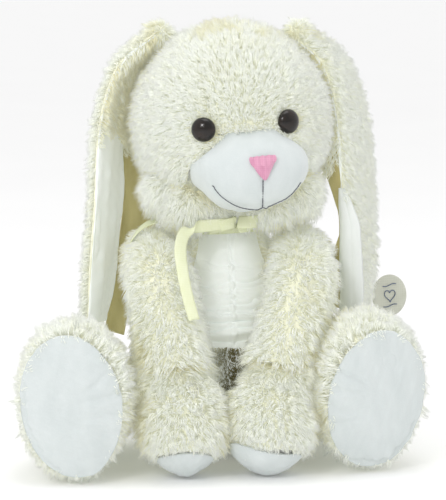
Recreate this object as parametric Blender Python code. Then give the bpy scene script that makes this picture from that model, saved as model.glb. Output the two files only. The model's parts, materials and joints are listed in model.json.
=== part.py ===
"""A seated lop-eared plush rabbit with a ribbon bow, as its sewn covers, stuffing and fittings.

Metres, +Z up. The rabbit sits on the floor (Z = 0) and faces -Y. "Right" and "left" are the
rabbit's own, so its right side lies at -X. Every sewn cover is a thin open shell, its stuffing
is a solid inside it, and each movable group of pieces hangs under an empty on its joint axis.
The fur pieces end at about half the depth of their pile.
"""

import math

import bmesh
import bpy
from mathutils import Matrix, Vector

# ---------------------------------------------------------------- driving dimensions
COVER = 0.004            # fabric backing with the lower half of its pile
SMOOTH_COVER = 0.0025    # short velvety plush
GAP = 0.0005             # clearance between touching pieces
SEAM = 0.0008            # clearance between two covers along a seam
CORE_GAP = 0.0018        # from a cover's inside to the stuffing, which has fewer facets

SIDES = {"right": -1, "left": 1}

HEAD_CENTRE = Vector((0.007, -0.015, 0.329))
HEAD_RADII = Vector((0.097, 0.090, 0.096))
HEAD_YAW = math.radians(6.5)       # turned towards its left
HEAD_ROLL = math.radians(-4.5)     # its left eye a little higher
MUZZLE_CENTRE = Vector((0.0, -0.070, -0.042))    # from the head's centre, in its own axes
MUZZLE_RADII = Vector((0.058, 0.052, 0.038))
NECK_PIVOT = Vector((0.004, 0.002, 0.236))
NOD_PIVOT = Vector((0.004, 0.002, 0.246))

EYE_AT = (0.0420, 0.001)         # sideways and up from the head's centre
EYE_RADIUS = 0.0118
EYE_STEM = 0.0022
WASHER_RADIUS = 0.0085
NOSE_AT = (0.0015, -0.037)
NOSE_SIZE = (0.0275, 0.0235)

# Torso rings: height, half width, half depth, centre in Y
TORSO_RINGS = (
    (0.007, 0.070, 0.075, 0.026),
    (0.028, 0.087, 0.092, 0.024),
    (0.060, 0.093, 0.098, 0.021),
    (0.095, 0.088, 0.094, 0.018),
    (0.130, 0.076, 0.085, 0.015),
    (0.165, 0.059, 0.073, 0.013),
    (0.195, 0.044, 0.060, 0.011),
    (0.222, 0.036, 0.045, 0.010),
)
TORSO_X = 0.004
BELLY_HALF_ANGLE = 48
SEAT_HALF = (0.066, 0.071)
SEAT_THICKNESS = 0.0060

SHOULDER = {"right": Vector((-0.0715, -0.016, 0.196)), "left": Vector((0.0775, -0.016, 0.196))}
ELBOW = {"right": Vector((-0.0665, -0.094, 0.163)), "left": Vector((0.0660, -0.094, 0.163))}
WRIST = {"right": Vector((-0.0560, -0.126, 0.083)), "left": Vector((0.0375, -0.126, 0.083))}
ARM_RADII = (0.0245, 0.0290, 0.0295, 0.0305)     # from the shoulder to the wrist
UPPER_ARM_BULGE = Vector((0.0, -0.004, 0.006))
PAW_CENTRE = {"right": Vector((-0.0505, -0.134, 0.0515)), "left": Vector((0.0325, -0.134, 0.0515))}
PAW_RADII = (0.0405, 0.0505)                     # across, along the arm
PAW_TILT = math.radians(24)                      # the pad faces down and forward

HIP = {"right": Vector((-0.127, -0.005, 0.045)), "left": Vector((0.134, -0.003, 0.045))}
LEG_RADII = (0.036, 0.041)
FOOT_CENTRE = {"right": Vector((-0.1550, -0.138, 0.0750)), "left": Vector((0.1275, -0.124, 0.0765))}
FOOT_YAW = {"right": math.radians(-6), "left": math.radians(8)}
FOOT_LEAN = {"right": math.radians(0), "left": math.radians(7)}
FOOT_HALF = (0.0515, 0.0735)                     # half width, half height
# Foot rings: forward of the foot's centre, share of the half sizes
FOOT_RINGS = (
    (-0.060, 0.56), (-0.050, 0.76), (-0.034, 0.92), (-0.012, 1.00), (0.010, 1.00), (0.024, 0.945),
)
FOOT_CORE_RINGS = ((-0.058, 0.56), (-0.034, 0.92), (0.0, 1.0), (0.0215, 0.90))
SOLE_RINGS = ((0.0270, 0.930), (0.0300, 0.70), (0.0318, 0.40), (0.0322, 0.0))

# Ear centre lines, from the root to the tip
EAR_LINES = {
    "right": ((-0.063, 0.000, 0.411), (-0.094, 0.002, 0.382), (-0.1095, 0.003, 0.325),
              (-0.1130, 0.002, 0.250), (-0.1190, -0.003, 0.185), (-0.1260, -0.010, 0.130)),
    "left": ((0.076, 0.000, 0.412), (0.110, 0.002, 0.384), (0.1290, 0.003, 0.325),
             (0.1345, 0.002, 0.250), (0.1360, -0.003, 0.185), (0.1310, -0.010, 0.130)),
}
EAR_TWIST = {"right": math.radians(24), "left": math.radians(30)}
EAR_HALF_WIDTHS = (0.019, 0.027, 0.033, 0.036, 0.035, 0.024)
EAR_FUR_DEPTH = 0.0085
EAR_LINING_DEPTH = 0.0045
EAR_BEND_AT = 0.52               # share of the ear's length
EAR_SPLIT = 0.004                # half the gap between an ear's two halves, in the same share

TAIL_CENTRE = Vector((0.0, 0.146, 0.050))
TAIL_RADIUS = 0.027
LABEL_RADIUS = 0.0215
LABEL_THICKNESS = 0.0012
RIBBON_WIDTH = 0.012
RIBBON_THICKNESS = 0.0012

# ---------------------------------------------------------------- clearing and materials
for old in list(bpy.data.objects):
    bpy.data.objects.remove(old, do_unlink=True)


def material(name, colour, roughness, metallic=0.0):
    made = bpy.data.materials.new(name)
    made.use_nodes = True
    shader = made.node_tree.nodes["Principled BSDF"]
    shader.inputs["Base Color"].default_value = (*colour, 1.0)
    shader.inputs["Roughness"].default_value = roughness
    shader.inputs["Metallic"].default_value = metallic
    return made


FUR = material("ivory_fur", (0.86, 0.82, 0.68), 0.9)
PLUSH = material("white_plush", (0.88, 0.89, 0.92), 0.85)
SATIN = material("pink_satin", (0.83, 0.31, 0.44), 0.4)
THREAD = material("grey_thread", (0.06, 0.06, 0.08), 0.7)
EYE_PLASTIC = material("black_gloss_plastic", (0.012, 0.010, 0.009), 0.06)
WASHER_PLASTIC = material("washer_plastic", (0.75, 0.75, 0.72), 0.5)
STUFFING = material("polyester_stuffing", (0.80, 0.80, 0.78), 1.0)
PELLETS = material("pellet_bag_cloth", (0.60, 0.56, 0.48), 0.9)
RIBBON = material("yellow_satin_ribbon", (0.86, 0.86, 0.45), 0.35)
LABEL = material("ivory_label_cloth", (0.82, 0.80, 0.72), 0.6)


# ---------------------------------------------------------------- frames of the moving groups
def frame_at(name, point, parent=None):
    """An empty on a joint's axis, placed in world coordinates."""
    empty = bpy.data.objects.new(name, None)
    bpy.context.collection.objects.link(empty)
    empty.location = point
    if parent is not None:
        empty.parent = parent[0]
        empty.location = point - parent[1]
    return empty, point


def add_piece(name, bm, look, frame, smooth=True):
    """Turns a world-space bmesh into a named object under its frame."""
    bmesh.ops.remove_doubles(bm, verts=bm.verts, dist=1e-6)
    bmesh.ops.recalc_face_normals(bm, faces=bm.faces)
    bmesh.ops.translate(bm, vec=-frame[1], verts=bm.verts)
    mesh = bpy.data.meshes.new(name)
    bm.to_mesh(mesh)
    bm.free()
    mesh.materials.append(look)
    piece = bpy.data.objects.new(name, mesh)
    bpy.context.collection.objects.link(piece)
    piece.parent = frame[0]
    if smooth:
        mesh.shade_smooth()
        mesh.set_sharp_from_angle(angle=math.radians(50))
    return piece


# ---------------------------------------------------------------- surface builders
def loft(rings, cap_start=True, cap_end=True):
    """A closed solid through rings of points that all run the same way round."""
    bm = bmesh.new()
    loops = [[bm.verts.new(p) for p in ring] for ring in rings]
    count = len(loops[0])
    for a, b in zip(loops, loops[1:]):
        for j in range(count):
            k = (j + 1) % count
            bm.faces.new((a[j], a[k], b[k], b[j]))
    if cap_start:
        bm.faces.new(loops[0])
    if cap_end:
        bm.faces.new(reversed(loops[-1]))
    return bm


def plate(outer, inner, wrapped=False):
    """A closed shell between two grids of points. Wrapped grids close on themselves sideways."""
    bm = bmesh.new()
    outside = [[bm.verts.new(p) for p in row] for row in outer]
    inside = [[bm.verts.new(p) for p in row] for row in inner]
    rows, columns = len(outside), len(outside[0])
    steps = range(columns if wrapped else columns - 1)
    for i in range(rows - 1):
        for j in steps:
            k = (j + 1) % columns
            bm.faces.new((outside[i][j], outside[i][k], outside[i + 1][k], outside[i + 1][j]))
            bm.faces.new((inside[i][j], inside[i + 1][j], inside[i + 1][k], inside[i][k]))
    for i in (0, rows - 1):
        for j in steps:
            k = (j + 1) % columns
            bm.faces.new((outside[i][j], inside[i][j], inside[i][k], outside[i][k]))
    if not wrapped:
        for j in (0, columns - 1):
            for i in range(rows - 1):
                bm.faces.new((outside[i][j], outside[i + 1][j], inside[i + 1][j], inside[i][j]))
    return bm


def close_poles(bm):
    """Merges rows that shrink to a point and drops the faces that vanish with them."""
    bmesh.ops.remove_doubles(bm, verts=bm.verts, dist=1e-6)
    bmesh.ops.dissolve_degenerate(bm, edges=bm.edges, dist=1e-7)
    return bm


def spread(first, last, steps):
    return [first + (last - first) * i / steps for i in range(steps + 1)]


def around(count):
    return [math.tau * j / count for j in range(count)]


def ring_points(centre, across, upward, half_across, half_up, angles):
    """Points of an ellipse. Angle 0 lies along `upward`, and 90 degrees along `across`."""
    return [
        centre + across * (half_across * math.sin(a)) + upward * (half_up * math.cos(a))
        for a in angles
    ]


def catmull(points, share):
    """A smooth curve through the points, at a share from 0 to 1 of its spans."""
    last = len(points) - 1
    at = min(max(share, 0.0), 1.0) * last
    i = min(int(at), last - 1)
    t = at - i
    p1, p2 = points[i], points[i + 1]
    p0 = points[i - 1] if i > 0 else p1 * 2 - p2
    p3 = points[i + 2] if i + 2 <= last else p2 * 2 - p1
    return 0.5 * (
        p1 * 2
        + (p2 - p0) * t
        + (p0 * 2 - p1 * 5 + p2 * 4 - p3) * t * t
        + (p1 * 3 - p0 - p2 * 3 + p3) * t * t * t
    )


def tangent(points, share):
    step = 0.01
    return (catmull(points, min(share + step, 1)) - catmull(points, max(share - step, 0))).normalized()


# ---------------------------------------------------------------- frames
TORSO = frame_at("torso_frame", Vector((0, 0, 0)))
NECK = frame_at("neck_frame", NECK_PIVOT, TORSO)
HEAD = frame_at("head_frame", NOD_PIVOT, NECK)
TAIL_PIVOT = TAIL_CENTRE - Vector((0, TAIL_RADIUS, 0))
TAIL = frame_at("tail_frame", TAIL_PIVOT, TORSO)

# ---------------------------------------------------------------- torso
X_AXIS, Y_AXIS, Z_AXIS = Vector((1, 0, 0)), Vector((0, 1, 0)), Vector((0, 0, 1))


def torso_row(height, half_x, half_y, centre_y, inset, angles):
    """Angle 0 is the front of the belly, and 90 degrees the rabbit's left side."""
    centre = Vector((TORSO_X, centre_y, height))
    return ring_points(centre, X_AXIS, -Y_AXIS, half_x - inset, half_y - inset, angles)


def torso_panel(name, first, last, thickness, look):
    angles = [math.radians(a) for a in spread(first, last, 7)]
    outer = [torso_row(*row, 0.0, angles) for row in TORSO_RINGS]
    inner = [torso_row(*row, thickness, angles) for row in TORSO_RINGS]
    add_piece(name, plate(outer, inner), look, TORSO)


SEAM_ANGLE = math.degrees(SEAM / 0.08)
torso_panel("belly_panel_right", -BELLY_HALF_ANGLE, -SEAM_ANGLE, SMOOTH_COVER, PLUSH)
torso_panel("belly_panel_left", SEAM_ANGLE, BELLY_HALF_ANGLE, SMOOTH_COVER, PLUSH)
torso_panel("back_panel_left", BELLY_HALF_ANGLE + SEAM_ANGLE, 180 - SEAM_ANGLE, COVER, FUR)
torso_panel("back_panel_right", 180 + SEAM_ANGLE, 360 - BELLY_HALF_ANGLE - SEAM_ANGLE, COVER, FUR)

seat_angles = around(24)
seat_centre = Vector((TORSO_X, TORSO_RINGS[0][3], 0))
seat_rings = [
    ring_points(seat_centre + Z_AXIS * height, X_AXIS, -Y_AXIS,
                SEAT_HALF[0] - inset, SEAT_HALF[1] - inset, seat_angles)
    for height, inset in ((0.0, 0.004), (0.002, 0.0), (SEAT_THICKNESS, 0.0))
]
add_piece("seat_panel", loft(seat_rings), FUR, TORSO)

PELLET_BOTTOM = 0.0075
PELLET_TOP = (0.056, 0.092, 0.097, 0.021)        # a ring like those of the torso
core_angles = around(16)


def torso_core(name, rows, look):
    rings = [torso_row(*row, COVER + CORE_GAP, core_angles) for row in rows]
    add_piece(name, loft(rings), look, TORSO)


torso_core("pellet_bag", ((PELLET_BOTTOM, *TORSO_RINGS[0][1:]), TORSO_RINGS[1], PELLET_TOP), PELLETS)
torso_core("body_stuffing", ((PELLET_TOP[0] + GAP, *PELLET_TOP[1:]), *TORSO_RINGS[3:]), STUFFING)

# The care label is sewn into the side seam at the back and stands out from it.
label_base = Vector((-0.066, 0.0960, 0.030))
label_out = Vector((-0.55, 0.83, 0)).normalized()
label_flat = label_out.cross(Z_AXIS)


def slab(corner, along, up, depth, length, height, thickness):
    """A thin box from one corner, with its sides along three directions."""
    rows = []
    for a in (0, length):
        rows.append([
            corner + along * a + up * h + depth * d
            for h, d in ((0, 0), (height, 0), (height, thickness), (0, thickness))
        ])
    return loft(rows)


add_piece("care_label", slab(label_base, label_out, Z_AXIS, label_flat, 0.022, 0.018, 0.0010),
          LABEL, TORSO, False)

# ---------------------------------------------------------------- neck
neck_rings = [
    ring_points(Vector((TORSO_X, 0.004, height)), X_AXIS, -Y_AXIS, radius, radius, core_angles)
    for height, radius in ((0.2226, 0.033), (0.234, 0.031), (0.2435, 0.022))
]
add_piece("neck_stuffing", loft(neck_rings), STUFFING, NECK)

# ---------------------------------------------------------------- head
HEAD_TURN = Matrix.Rotation(HEAD_YAW, 3, "Z") @ Matrix.Rotation(HEAD_ROLL, 3, "Y")


def ellipsoid_reach(direction, centre, radii):
    """Distance from the origin along a direction to an ellipsoid's far side, or 0 if it misses."""
    d = Vector((direction[i] / radii[i] for i in range(3)))
    c = Vector((centre[i] / radii[i] for i in range(3)))
    a, b, rest = d.dot(d), d.dot(c), c.dot(c) - 1
    under = b * b - a * rest
    return (b + math.sqrt(under)) / a if under > 0 and b > 0 else 0.0


def head_point(turn, side, inset, muzzle_inset=None):
    """turn: 0 down, 90 front, 180 top, 270 back. side: -90 right to 90 left."""
    if muzzle_inset is None:
        muzzle_inset = inset
    turn, side = math.radians(turn), math.radians(side)
    direction = Vector((
        math.sin(side),
        -math.cos(side) * math.sin(turn),
        -math.cos(side) * math.cos(turn),
    ))
    skull = 1 / Vector((direction[i] / HEAD_RADII[i] for i in range(3))).length
    muzzle = ellipsoid_reach(direction, MUZZLE_CENTRE, MUZZLE_RADII)
    return HEAD_CENTRE + HEAD_TURN @ (direction * max(skull - inset, muzzle - muzzle_inset))


def face_point(across, up, lift):
    """A point on the front of the face, straight ahead of the head's own middle plane."""
    depths = [0.0]
    for centre, radii in ((Vector((0, 0, 0)), HEAD_RADII), (MUZZLE_CENTRE, MUZZLE_RADII)):
        inside = 1 - ((across - centre.x) / radii.x) ** 2 - ((up - centre.z) / radii.z) ** 2
        if inside > 0:
            depths.append(radii.y * math.sqrt(inside) - centre.y)
    return HEAD_CENTRE + HEAD_TURN @ Vector((across, -(max(depths) + lift), up))


def head_cover(name, turns, sides, steps, thickness, look):
    """sides gives a panel's two edges, in degrees to the side, at each turn up the face."""
    grid = [
        [[head_point(t, s, inset) for s in spread(*sides(t), steps[1])] for t in spread(*turns, steps[0])]
        for inset in (0.0, thickness)
    ]
    return add_piece(name, plate(*grid), look, HEAD)


HEAD_SEAM = math.degrees(SEAM / HEAD_RADII.z)
NECK_HALF_TURN = 40
MUZZLE_SIDE = 40         # half its width, narrowing towards the brow
BROW_SIDE = 15
MUZZLE_NARROWS_AT = 62
MUZZLE_TOP = 87
GUSSET_SIDE = 24
POLE = 87


def muzzle_side(turn):
    """Half the muzzle panel's width, in degrees to the side, at a turn up the face."""
    share = min(max((turn - MUZZLE_NARROWS_AT) / (MUZZLE_TOP - MUZZLE_NARROWS_AT), 0.0), 1.0)
    return MUZZLE_SIDE + (BROW_SIDE - MUZZLE_SIDE) * share


head_cover("muzzle_cover", (NECK_HALF_TURN + 4, MUZZLE_TOP),
           lambda t: (-muzzle_side(t), muzzle_side(t)), (10, 11), SMOOTH_COVER, PLUSH)
head_cover("head_gusset", (MUZZLE_TOP + HEAD_SEAM, 360 - NECK_HALF_TURN),
           lambda t: (-GUSSET_SIDE, GUSSET_SIDE), (12, 4), COVER, FUR)
side_covers, cheek_covers = {}, {}
for label, sign in SIDES.items():
    side_covers[label] = head_cover(
        f"head_side_{label}", (MUZZLE_TOP + HEAD_SEAM, 360 - NECK_HALF_TURN),
        lambda t: (sign * (GUSSET_SIDE + HEAD_SEAM), sign * POLE), (12, 5), COVER, FUR)
    cheek_covers[label] = head_cover(
        f"head_cheek_{label}", (-NECK_HALF_TURN + HEAD_SEAM, MUZZLE_TOP - HEAD_SEAM),
        lambda t: (sign * (muzzle_side(t) + HEAD_SEAM), sign * POLE), (10, 5), COVER, FUR)

# The stuffing fills the head and the muzzle, and ends in a flat over the neck.
STUFFING_FLOOR = 0.2515
HEAD_CORE_GAP = 0.0050
MUZZLE_CORE_GAP = 0.0120    # the crease round the muzzle is deeper than the stuffing's facets
CORE_SIDES = spread(-84, 84, 12)
head_core = []
for turn in spread(0, 360, 20)[:-1]:
    row = [head_point(turn, side, COVER + HEAD_CORE_GAP, COVER + MUZZLE_CORE_GAP) for side in CORE_SIDES]
    head_core.append([Vector((p.x, p.y, max(p.z, STUFFING_FLOOR))) for p in row])
head_core_rings = [[row[k] for row in head_core] for k in range(len(CORE_SIDES))]
head_stuffing = add_piece("head_stuffing", loft(head_core_rings), STUFFING, HEAD)


def cutter(name, rings):
    """A guide solid for a Boolean cut, which isn't part of the rabbit."""
    tool = add_piece(name, loft(rings), STUFFING, HEAD)
    tool.hide_render = True
    tool.display_type = "WIRE"
    return tool


def cut(piece, tool):
    step = piece.modifiers.new(tool.name, "BOOLEAN")
    step.operation = "DIFFERENCE"
    step.solver = "EXACT"
    step.object = tool


def turned(base, axis, profile, angles):
    """Rings of a solid of revolution from (distance along the axis, radius) pairs."""
    across = axis.orthogonal().normalized()
    upward = axis.cross(across).normalized()
    return [ring_points(base + axis * at, across, upward, radius, radius, angles) for at, radius in profile]


WASHER_FACES = (-0.0100, -0.0080)    # along the eye's axis
eye_angles = around(16)
for label, sign in SIDES.items():
    across, up = sign * EYE_AT[0], EYE_AT[1]
    seat = face_point(across, up, 0.0)
    beside = face_point(across + 0.004, up, 0.0) - face_point(across - 0.004, up, 0.0)
    above = face_point(across, up + 0.004, 0.0) - face_point(across, up - 0.004, 0.0)
    outward = beside.cross(above).normalized()
    # A safety eye: a dome on the fabric, a stem through it and a washer pressed on behind it.
    dome_profile = [(0.0012, EYE_RADIUS * 0.93), (0.0026, EYE_RADIUS)]
    dome_profile += [
        (0.0026 + 0.0078 * math.sin(math.radians(a)), EYE_RADIUS * math.cos(math.radians(a)))
        for a in (22, 42, 60, 76)
    ]
    stem_end = -0.0150
    eye_profile = [(stem_end, EYE_STEM), (0.0012, EYE_STEM), *dome_profile]
    add_piece(f"eye_{label}", loft(turned(seat, outward, eye_profile, eye_angles)), EYE_PLASTIC, HEAD)
    hole, dish, pocket = (
        cutter(f"{name}_{label}",
               turned(seat, outward, [(first, radius), (last, radius)], eye_angles))
        for name, first, last, radius in (
            ("eye_hole", -0.020, 0.010, EYE_STEM + GAP),
            ("eye_dish", -0.0005, 0.012, EYE_RADIUS + GAP),
            ("washer_pocket", -0.018, 0.004, WASHER_RADIUS + 0.001),
        )
    )
    for cover in (side_covers[label], cheek_covers[label]):
        cut(cover, dish)
        cut(cover, hole)
    cut(head_stuffing, pocket)
    washer = plate(
        turned(seat, outward, [(at, WASHER_RADIUS) for at in WASHER_FACES], eye_angles),
        turned(seat, outward, [(at, EYE_STEM + GAP) for at in WASHER_FACES], eye_angles),
        wrapped=True)
    add_piece(f"eye_washer_{label}", washer, WASHER_PLASTIC, HEAD)


NOSE_TIP_SHARE = 0.55    # of the nose's height that lies below its middle
NOSE_LIFT = 0.0014       # from the muzzle to the back of the patch
NOSE_STEPS = ((1.0, 0.0020), (0.82, 0.0034), (0.45, 0.0046), (0.0, 0.0050))    # size, height


def rounded_triangle(width, height, corner, steps):
    """Points round a triangle that stands on its tip, with arcs for corners."""
    top = height * (1 - NOSE_TIP_SHARE)
    corners = [Vector((width / 2, top)), Vector((-width / 2, top)), Vector((0, top - height))]
    outline = []
    for i in range(3):
        here, before, after = corners[i], corners[i - 1], corners[(i + 1) % 3]
        start = here + (before - here).normalized() * corner
        end = here + (after - here).normalized() * corner
        for step in range(steps + 1):
            t = step / steps
            outline.append(start * (1 - t) ** 2 + here * (2 * t * (1 - t)) + end * t ** 2)
    return outline


nose_outline = rounded_triangle(*NOSE_SIZE, 0.0055, 4)


def nose_ring(share, lift):
    return [face_point(NOSE_AT[0] + p.x * share, NOSE_AT[1] + p.y * share, lift) for p in nose_outline]


nose_front = [nose_ring(share, lift) for share, lift in NOSE_STEPS]
nose_back = [nose_ring(share, NOSE_LIFT) for share, _ in NOSE_STEPS]
add_piece("nose_patch", close_poles(plate(nose_front, nose_back, wrapped=True)), SATIN, HEAD)

THREAD_WIDTH = 0.0016
THREAD_LIFT = 0.0016
NOSE_TIP = NOSE_AT[1] - NOSE_SIZE[1] * NOSE_TIP_SHARE


def stitched_line(points):
    """A raised line of stitching that follows the face through (across, up) points."""
    rings = []
    for i, here in enumerate(points):
        before, after = points[max(i - 1, 0)], points[min(i + 1, len(points) - 1)]
        way = (after - before).normalized()
        beside = Vector((-way.y, way.x)) * THREAD_WIDTH / 2
        rings.append([
            face_point(here.x - beside.x, here.y - beside.y, GAP),
            face_point(here.x - beside.x, here.y - beside.y, THREAD_LIFT),
            face_point(here.x + beside.x, here.y + beside.y, THREAD_LIFT),
            face_point(here.x + beside.x, here.y + beside.y, GAP),
        ])
    return loft(rings)


SMILE_HALF = 0.043
SMILE_LOW = -0.0735
SMILE_RISE = 0.0215


def smile_height(across):
    return SMILE_LOW + SMILE_RISE * (abs(across) / SMILE_HALF) ** 1.7


smile = [Vector((x, smile_height(x))) for x in spread(-SMILE_HALF, SMILE_HALF, 18)]
mouth = add_piece("mouth_stitching", stitched_line(smile), THREAD, HEAD)
philtrum_top = Vector((NOSE_AT[0], NOSE_TIP - 0.0014))
philtrum = [philtrum_top.lerp(Vector((0, SMILE_LOW)), t) for t in spread(0, 1, 5)]
philtrum_tool = add_piece("philtrum_guide", stitched_line(philtrum), THREAD, HEAD)
philtrum_tool.hide_render = True
philtrum_tool.display_type = "WIRE"
joined = mouth.modifiers.new("philtrum", "BOOLEAN")
joined.operation = "UNION"
joined.solver = "EXACT"
joined.object = philtrum_tool

# ---------------------------------------------------------------- ears


def ear_ring(line, twist, sign, share, half_width, depth, sideways):
    """Half of the ear's cross-section. sideways is 1 for the outer fur and -1 for the lining."""
    centre = catmull(line, share)
    along = tangent(line, share)
    width_way = Vector((math.sin(twist), math.cos(twist), 0))
    outward = along.cross(width_way).normalized()
    if outward.dot(Vector((sign, 0, 0.6))) < 0:
        outward = -outward
    width_way = outward.cross(along).normalized()
    flat = [
        centre + width_way * (half_width * w) + outward * (sideways * GAP / 2)
        for w in (1.0, 0.4, -0.4, -1.0)
    ]
    bulge = [
        centre + width_way * (half_width * math.cos(math.radians(a)))
        + outward * (sideways * (GAP / 2 + depth * (0.25 + 0.75 * math.sin(math.radians(a)))))
        for a in (180, 145, 110, 70, 35, 0)
    ]
    return flat + bulge


def ear_width(share):
    return catmull([Vector((w, 0, 0)) for w in EAR_HALF_WIDTHS], share).x


def ear_piece(name, label, first, last, depth, sideways, look, frame):
    line = [Vector(p) for p in EAR_LINES[label]]
    rings = [
        ear_ring(line, EAR_TWIST[label], SIDES[label], share, ear_width(share), depth, sideways)
        for share in spread(first, last, 7)
    ]
    add_piece(name, loft(rings), look, frame)


LOWER_EARS = {}
for label, sign in SIDES.items():
    line = [Vector(p) for p in EAR_LINES[label]]
    root_frame = frame_at(f"ear_{label}_root", line[0], HEAD)
    twist = EAR_TWIST[label]
    outward = Vector((sign * math.cos(twist), -sign * math.sin(twist), 0))
    bend_point = catmull(line, EAR_BEND_AT) + outward * (EAR_FUR_DEPTH + 0.001)
    bend_frame = frame_at(f"ear_{label}_bend", bend_point, root_frame)
    LOWER_EARS[label] = bend_frame
    for part, first, last, frame in (
        ("upper", 0.0, EAR_BEND_AT - EAR_SPLIT, root_frame),
        ("lower", EAR_BEND_AT + EAR_SPLIT, 1.0, bend_frame),
    ):
        ear_piece(f"ear_{label}_{part}_fur", label, first, last, EAR_FUR_DEPTH, 1, FUR, frame)
        ear_piece(f"ear_{label}_{part}_lining", label, first, last, EAR_LINING_DEPTH, -1, PLUSH, frame)

# ---------------------------------------------------------------- round label on the left ear
left_line = [Vector(p) for p in EAR_LINES["left"]]
TAB_SHARE = 0.92                 # where the tab is sewn, in a share of the ear's length
TAB_LENGTH = 0.007
TAB_HEIGHT = 0.010
twist = EAR_TWIST["left"]
back_way = Vector((math.sin(twist), math.cos(twist), 0))
tab_root = catmull(left_line, TAB_SHARE) + back_way * (ear_width(TAB_SHARE - 0.08) + 0.0035)
tab_out = Vector((0.80, 0.60, 0)).normalized()
tab_depth = tab_out.cross(Z_AXIS)
add_piece("label_tab", slab(tab_root, tab_out, Z_AXIS, tab_depth, TAB_LENGTH, TAB_HEIGHT, LABEL_THICKNESS),
          LABEL, LOWER_EARS["left"], False)
LABEL_PIVOT = tab_root + tab_out * (TAB_LENGTH + 0.0015) + Z_AXIS * TAB_HEIGHT / 2
LABEL_FRAME = frame_at("round_label_frame", LABEL_PIVOT, LOWER_EARS["left"])
label_face = Vector((0.10, -1, 0.06)).normalized()
label_centre = LABEL_PIVOT + Vector((LABEL_RADIUS * 0.97, 0.002, -LABEL_RADIUS * 0.25))
disc_profile = [(side * LABEL_THICKNESS / 2, LABEL_RADIUS) for side in (-1, 1)]
add_piece("round_label", loft(turned(label_centre, label_face, disc_profile, around(28))), LABEL, LABEL_FRAME)

# ---------------------------------------------------------------- arms and paws


def limb_rings(line, radii, shares, inset, angles):
    """Round rings square to a bent limb, whose radius runs through the given values."""
    rings = []
    for share in shares:
        way = tangent(line, share)
        across = way.cross(X_AXIS).normalized()
        upward = across.cross(way).normalized()
        radius = catmull([Vector((r, 0, 0)) for r in radii], share).x - inset
        rings.append(ring_points(catmull(line, share), across, upward, radius, radius, angles))
    return rings


def paw_profile(first, last, steps, inset):
    return [
        ((PAW_RADII[1] - inset) * math.cos(a), (PAW_RADII[0] - inset) * math.sin(a))
        for a in map(math.radians, spread(first, last, steps))
    ]


PAW_COVER_SPAN = (46, 132, 7)    # degrees from the pad's pole, and steps
PAW_PAD_SPAN = (0, 44.5, 4)
limb_angles = around(14)
for label in SIDES:
    shoulder, elbow = SHOULDER[label], ELBOW[label]
    line = [shoulder, shoulder.lerp(elbow, 0.5) + UPPER_ARM_BULGE, elbow, WRIST[label]]
    arm_frame = frame_at(f"arm_{label}_frame", shoulder, TORSO)
    shares = spread(0.0, 0.94, 7)
    sleeve = plate(limb_rings(line, ARM_RADII, shares, 0.0, limb_angles),
                   limb_rings(line, ARM_RADII, shares, COVER, limb_angles), wrapped=True)
    add_piece(f"arm_{label}_sleeve", sleeve, FUR, arm_frame)
    arm_core = limb_rings(line, ARM_RADII, shares, COVER + CORE_GAP, limb_angles)
    add_piece(f"arm_{label}_stuffing", loft(arm_core), STUFFING, arm_frame)

    # The paw is an egg whose pole, the pad, faces down and forward.
    paw_way = Vector((0, -math.sin(PAW_TILT), -math.cos(PAW_TILT)))
    centre = PAW_CENTRE[label]
    for name, span, thickness, look in (
        ("cover", PAW_COVER_SPAN, COVER, FUR), ("pad", PAW_PAD_SPAN, SMOOTH_COVER, PLUSH),
    ):
        skin = plate(*(turned(centre, paw_way, paw_profile(*span, inset), limb_angles)
                       for inset in (0.0, thickness)), wrapped=True)
        add_piece(f"paw_{label}_{name}", close_poles(skin), look, arm_frame)
    paw_core = turned(centre, paw_way, paw_profile(6, 128, 8, COVER + CORE_GAP), around(12))
    add_piece(f"paw_{label}_stuffing", loft(paw_core), STUFFING, arm_frame)

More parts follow.
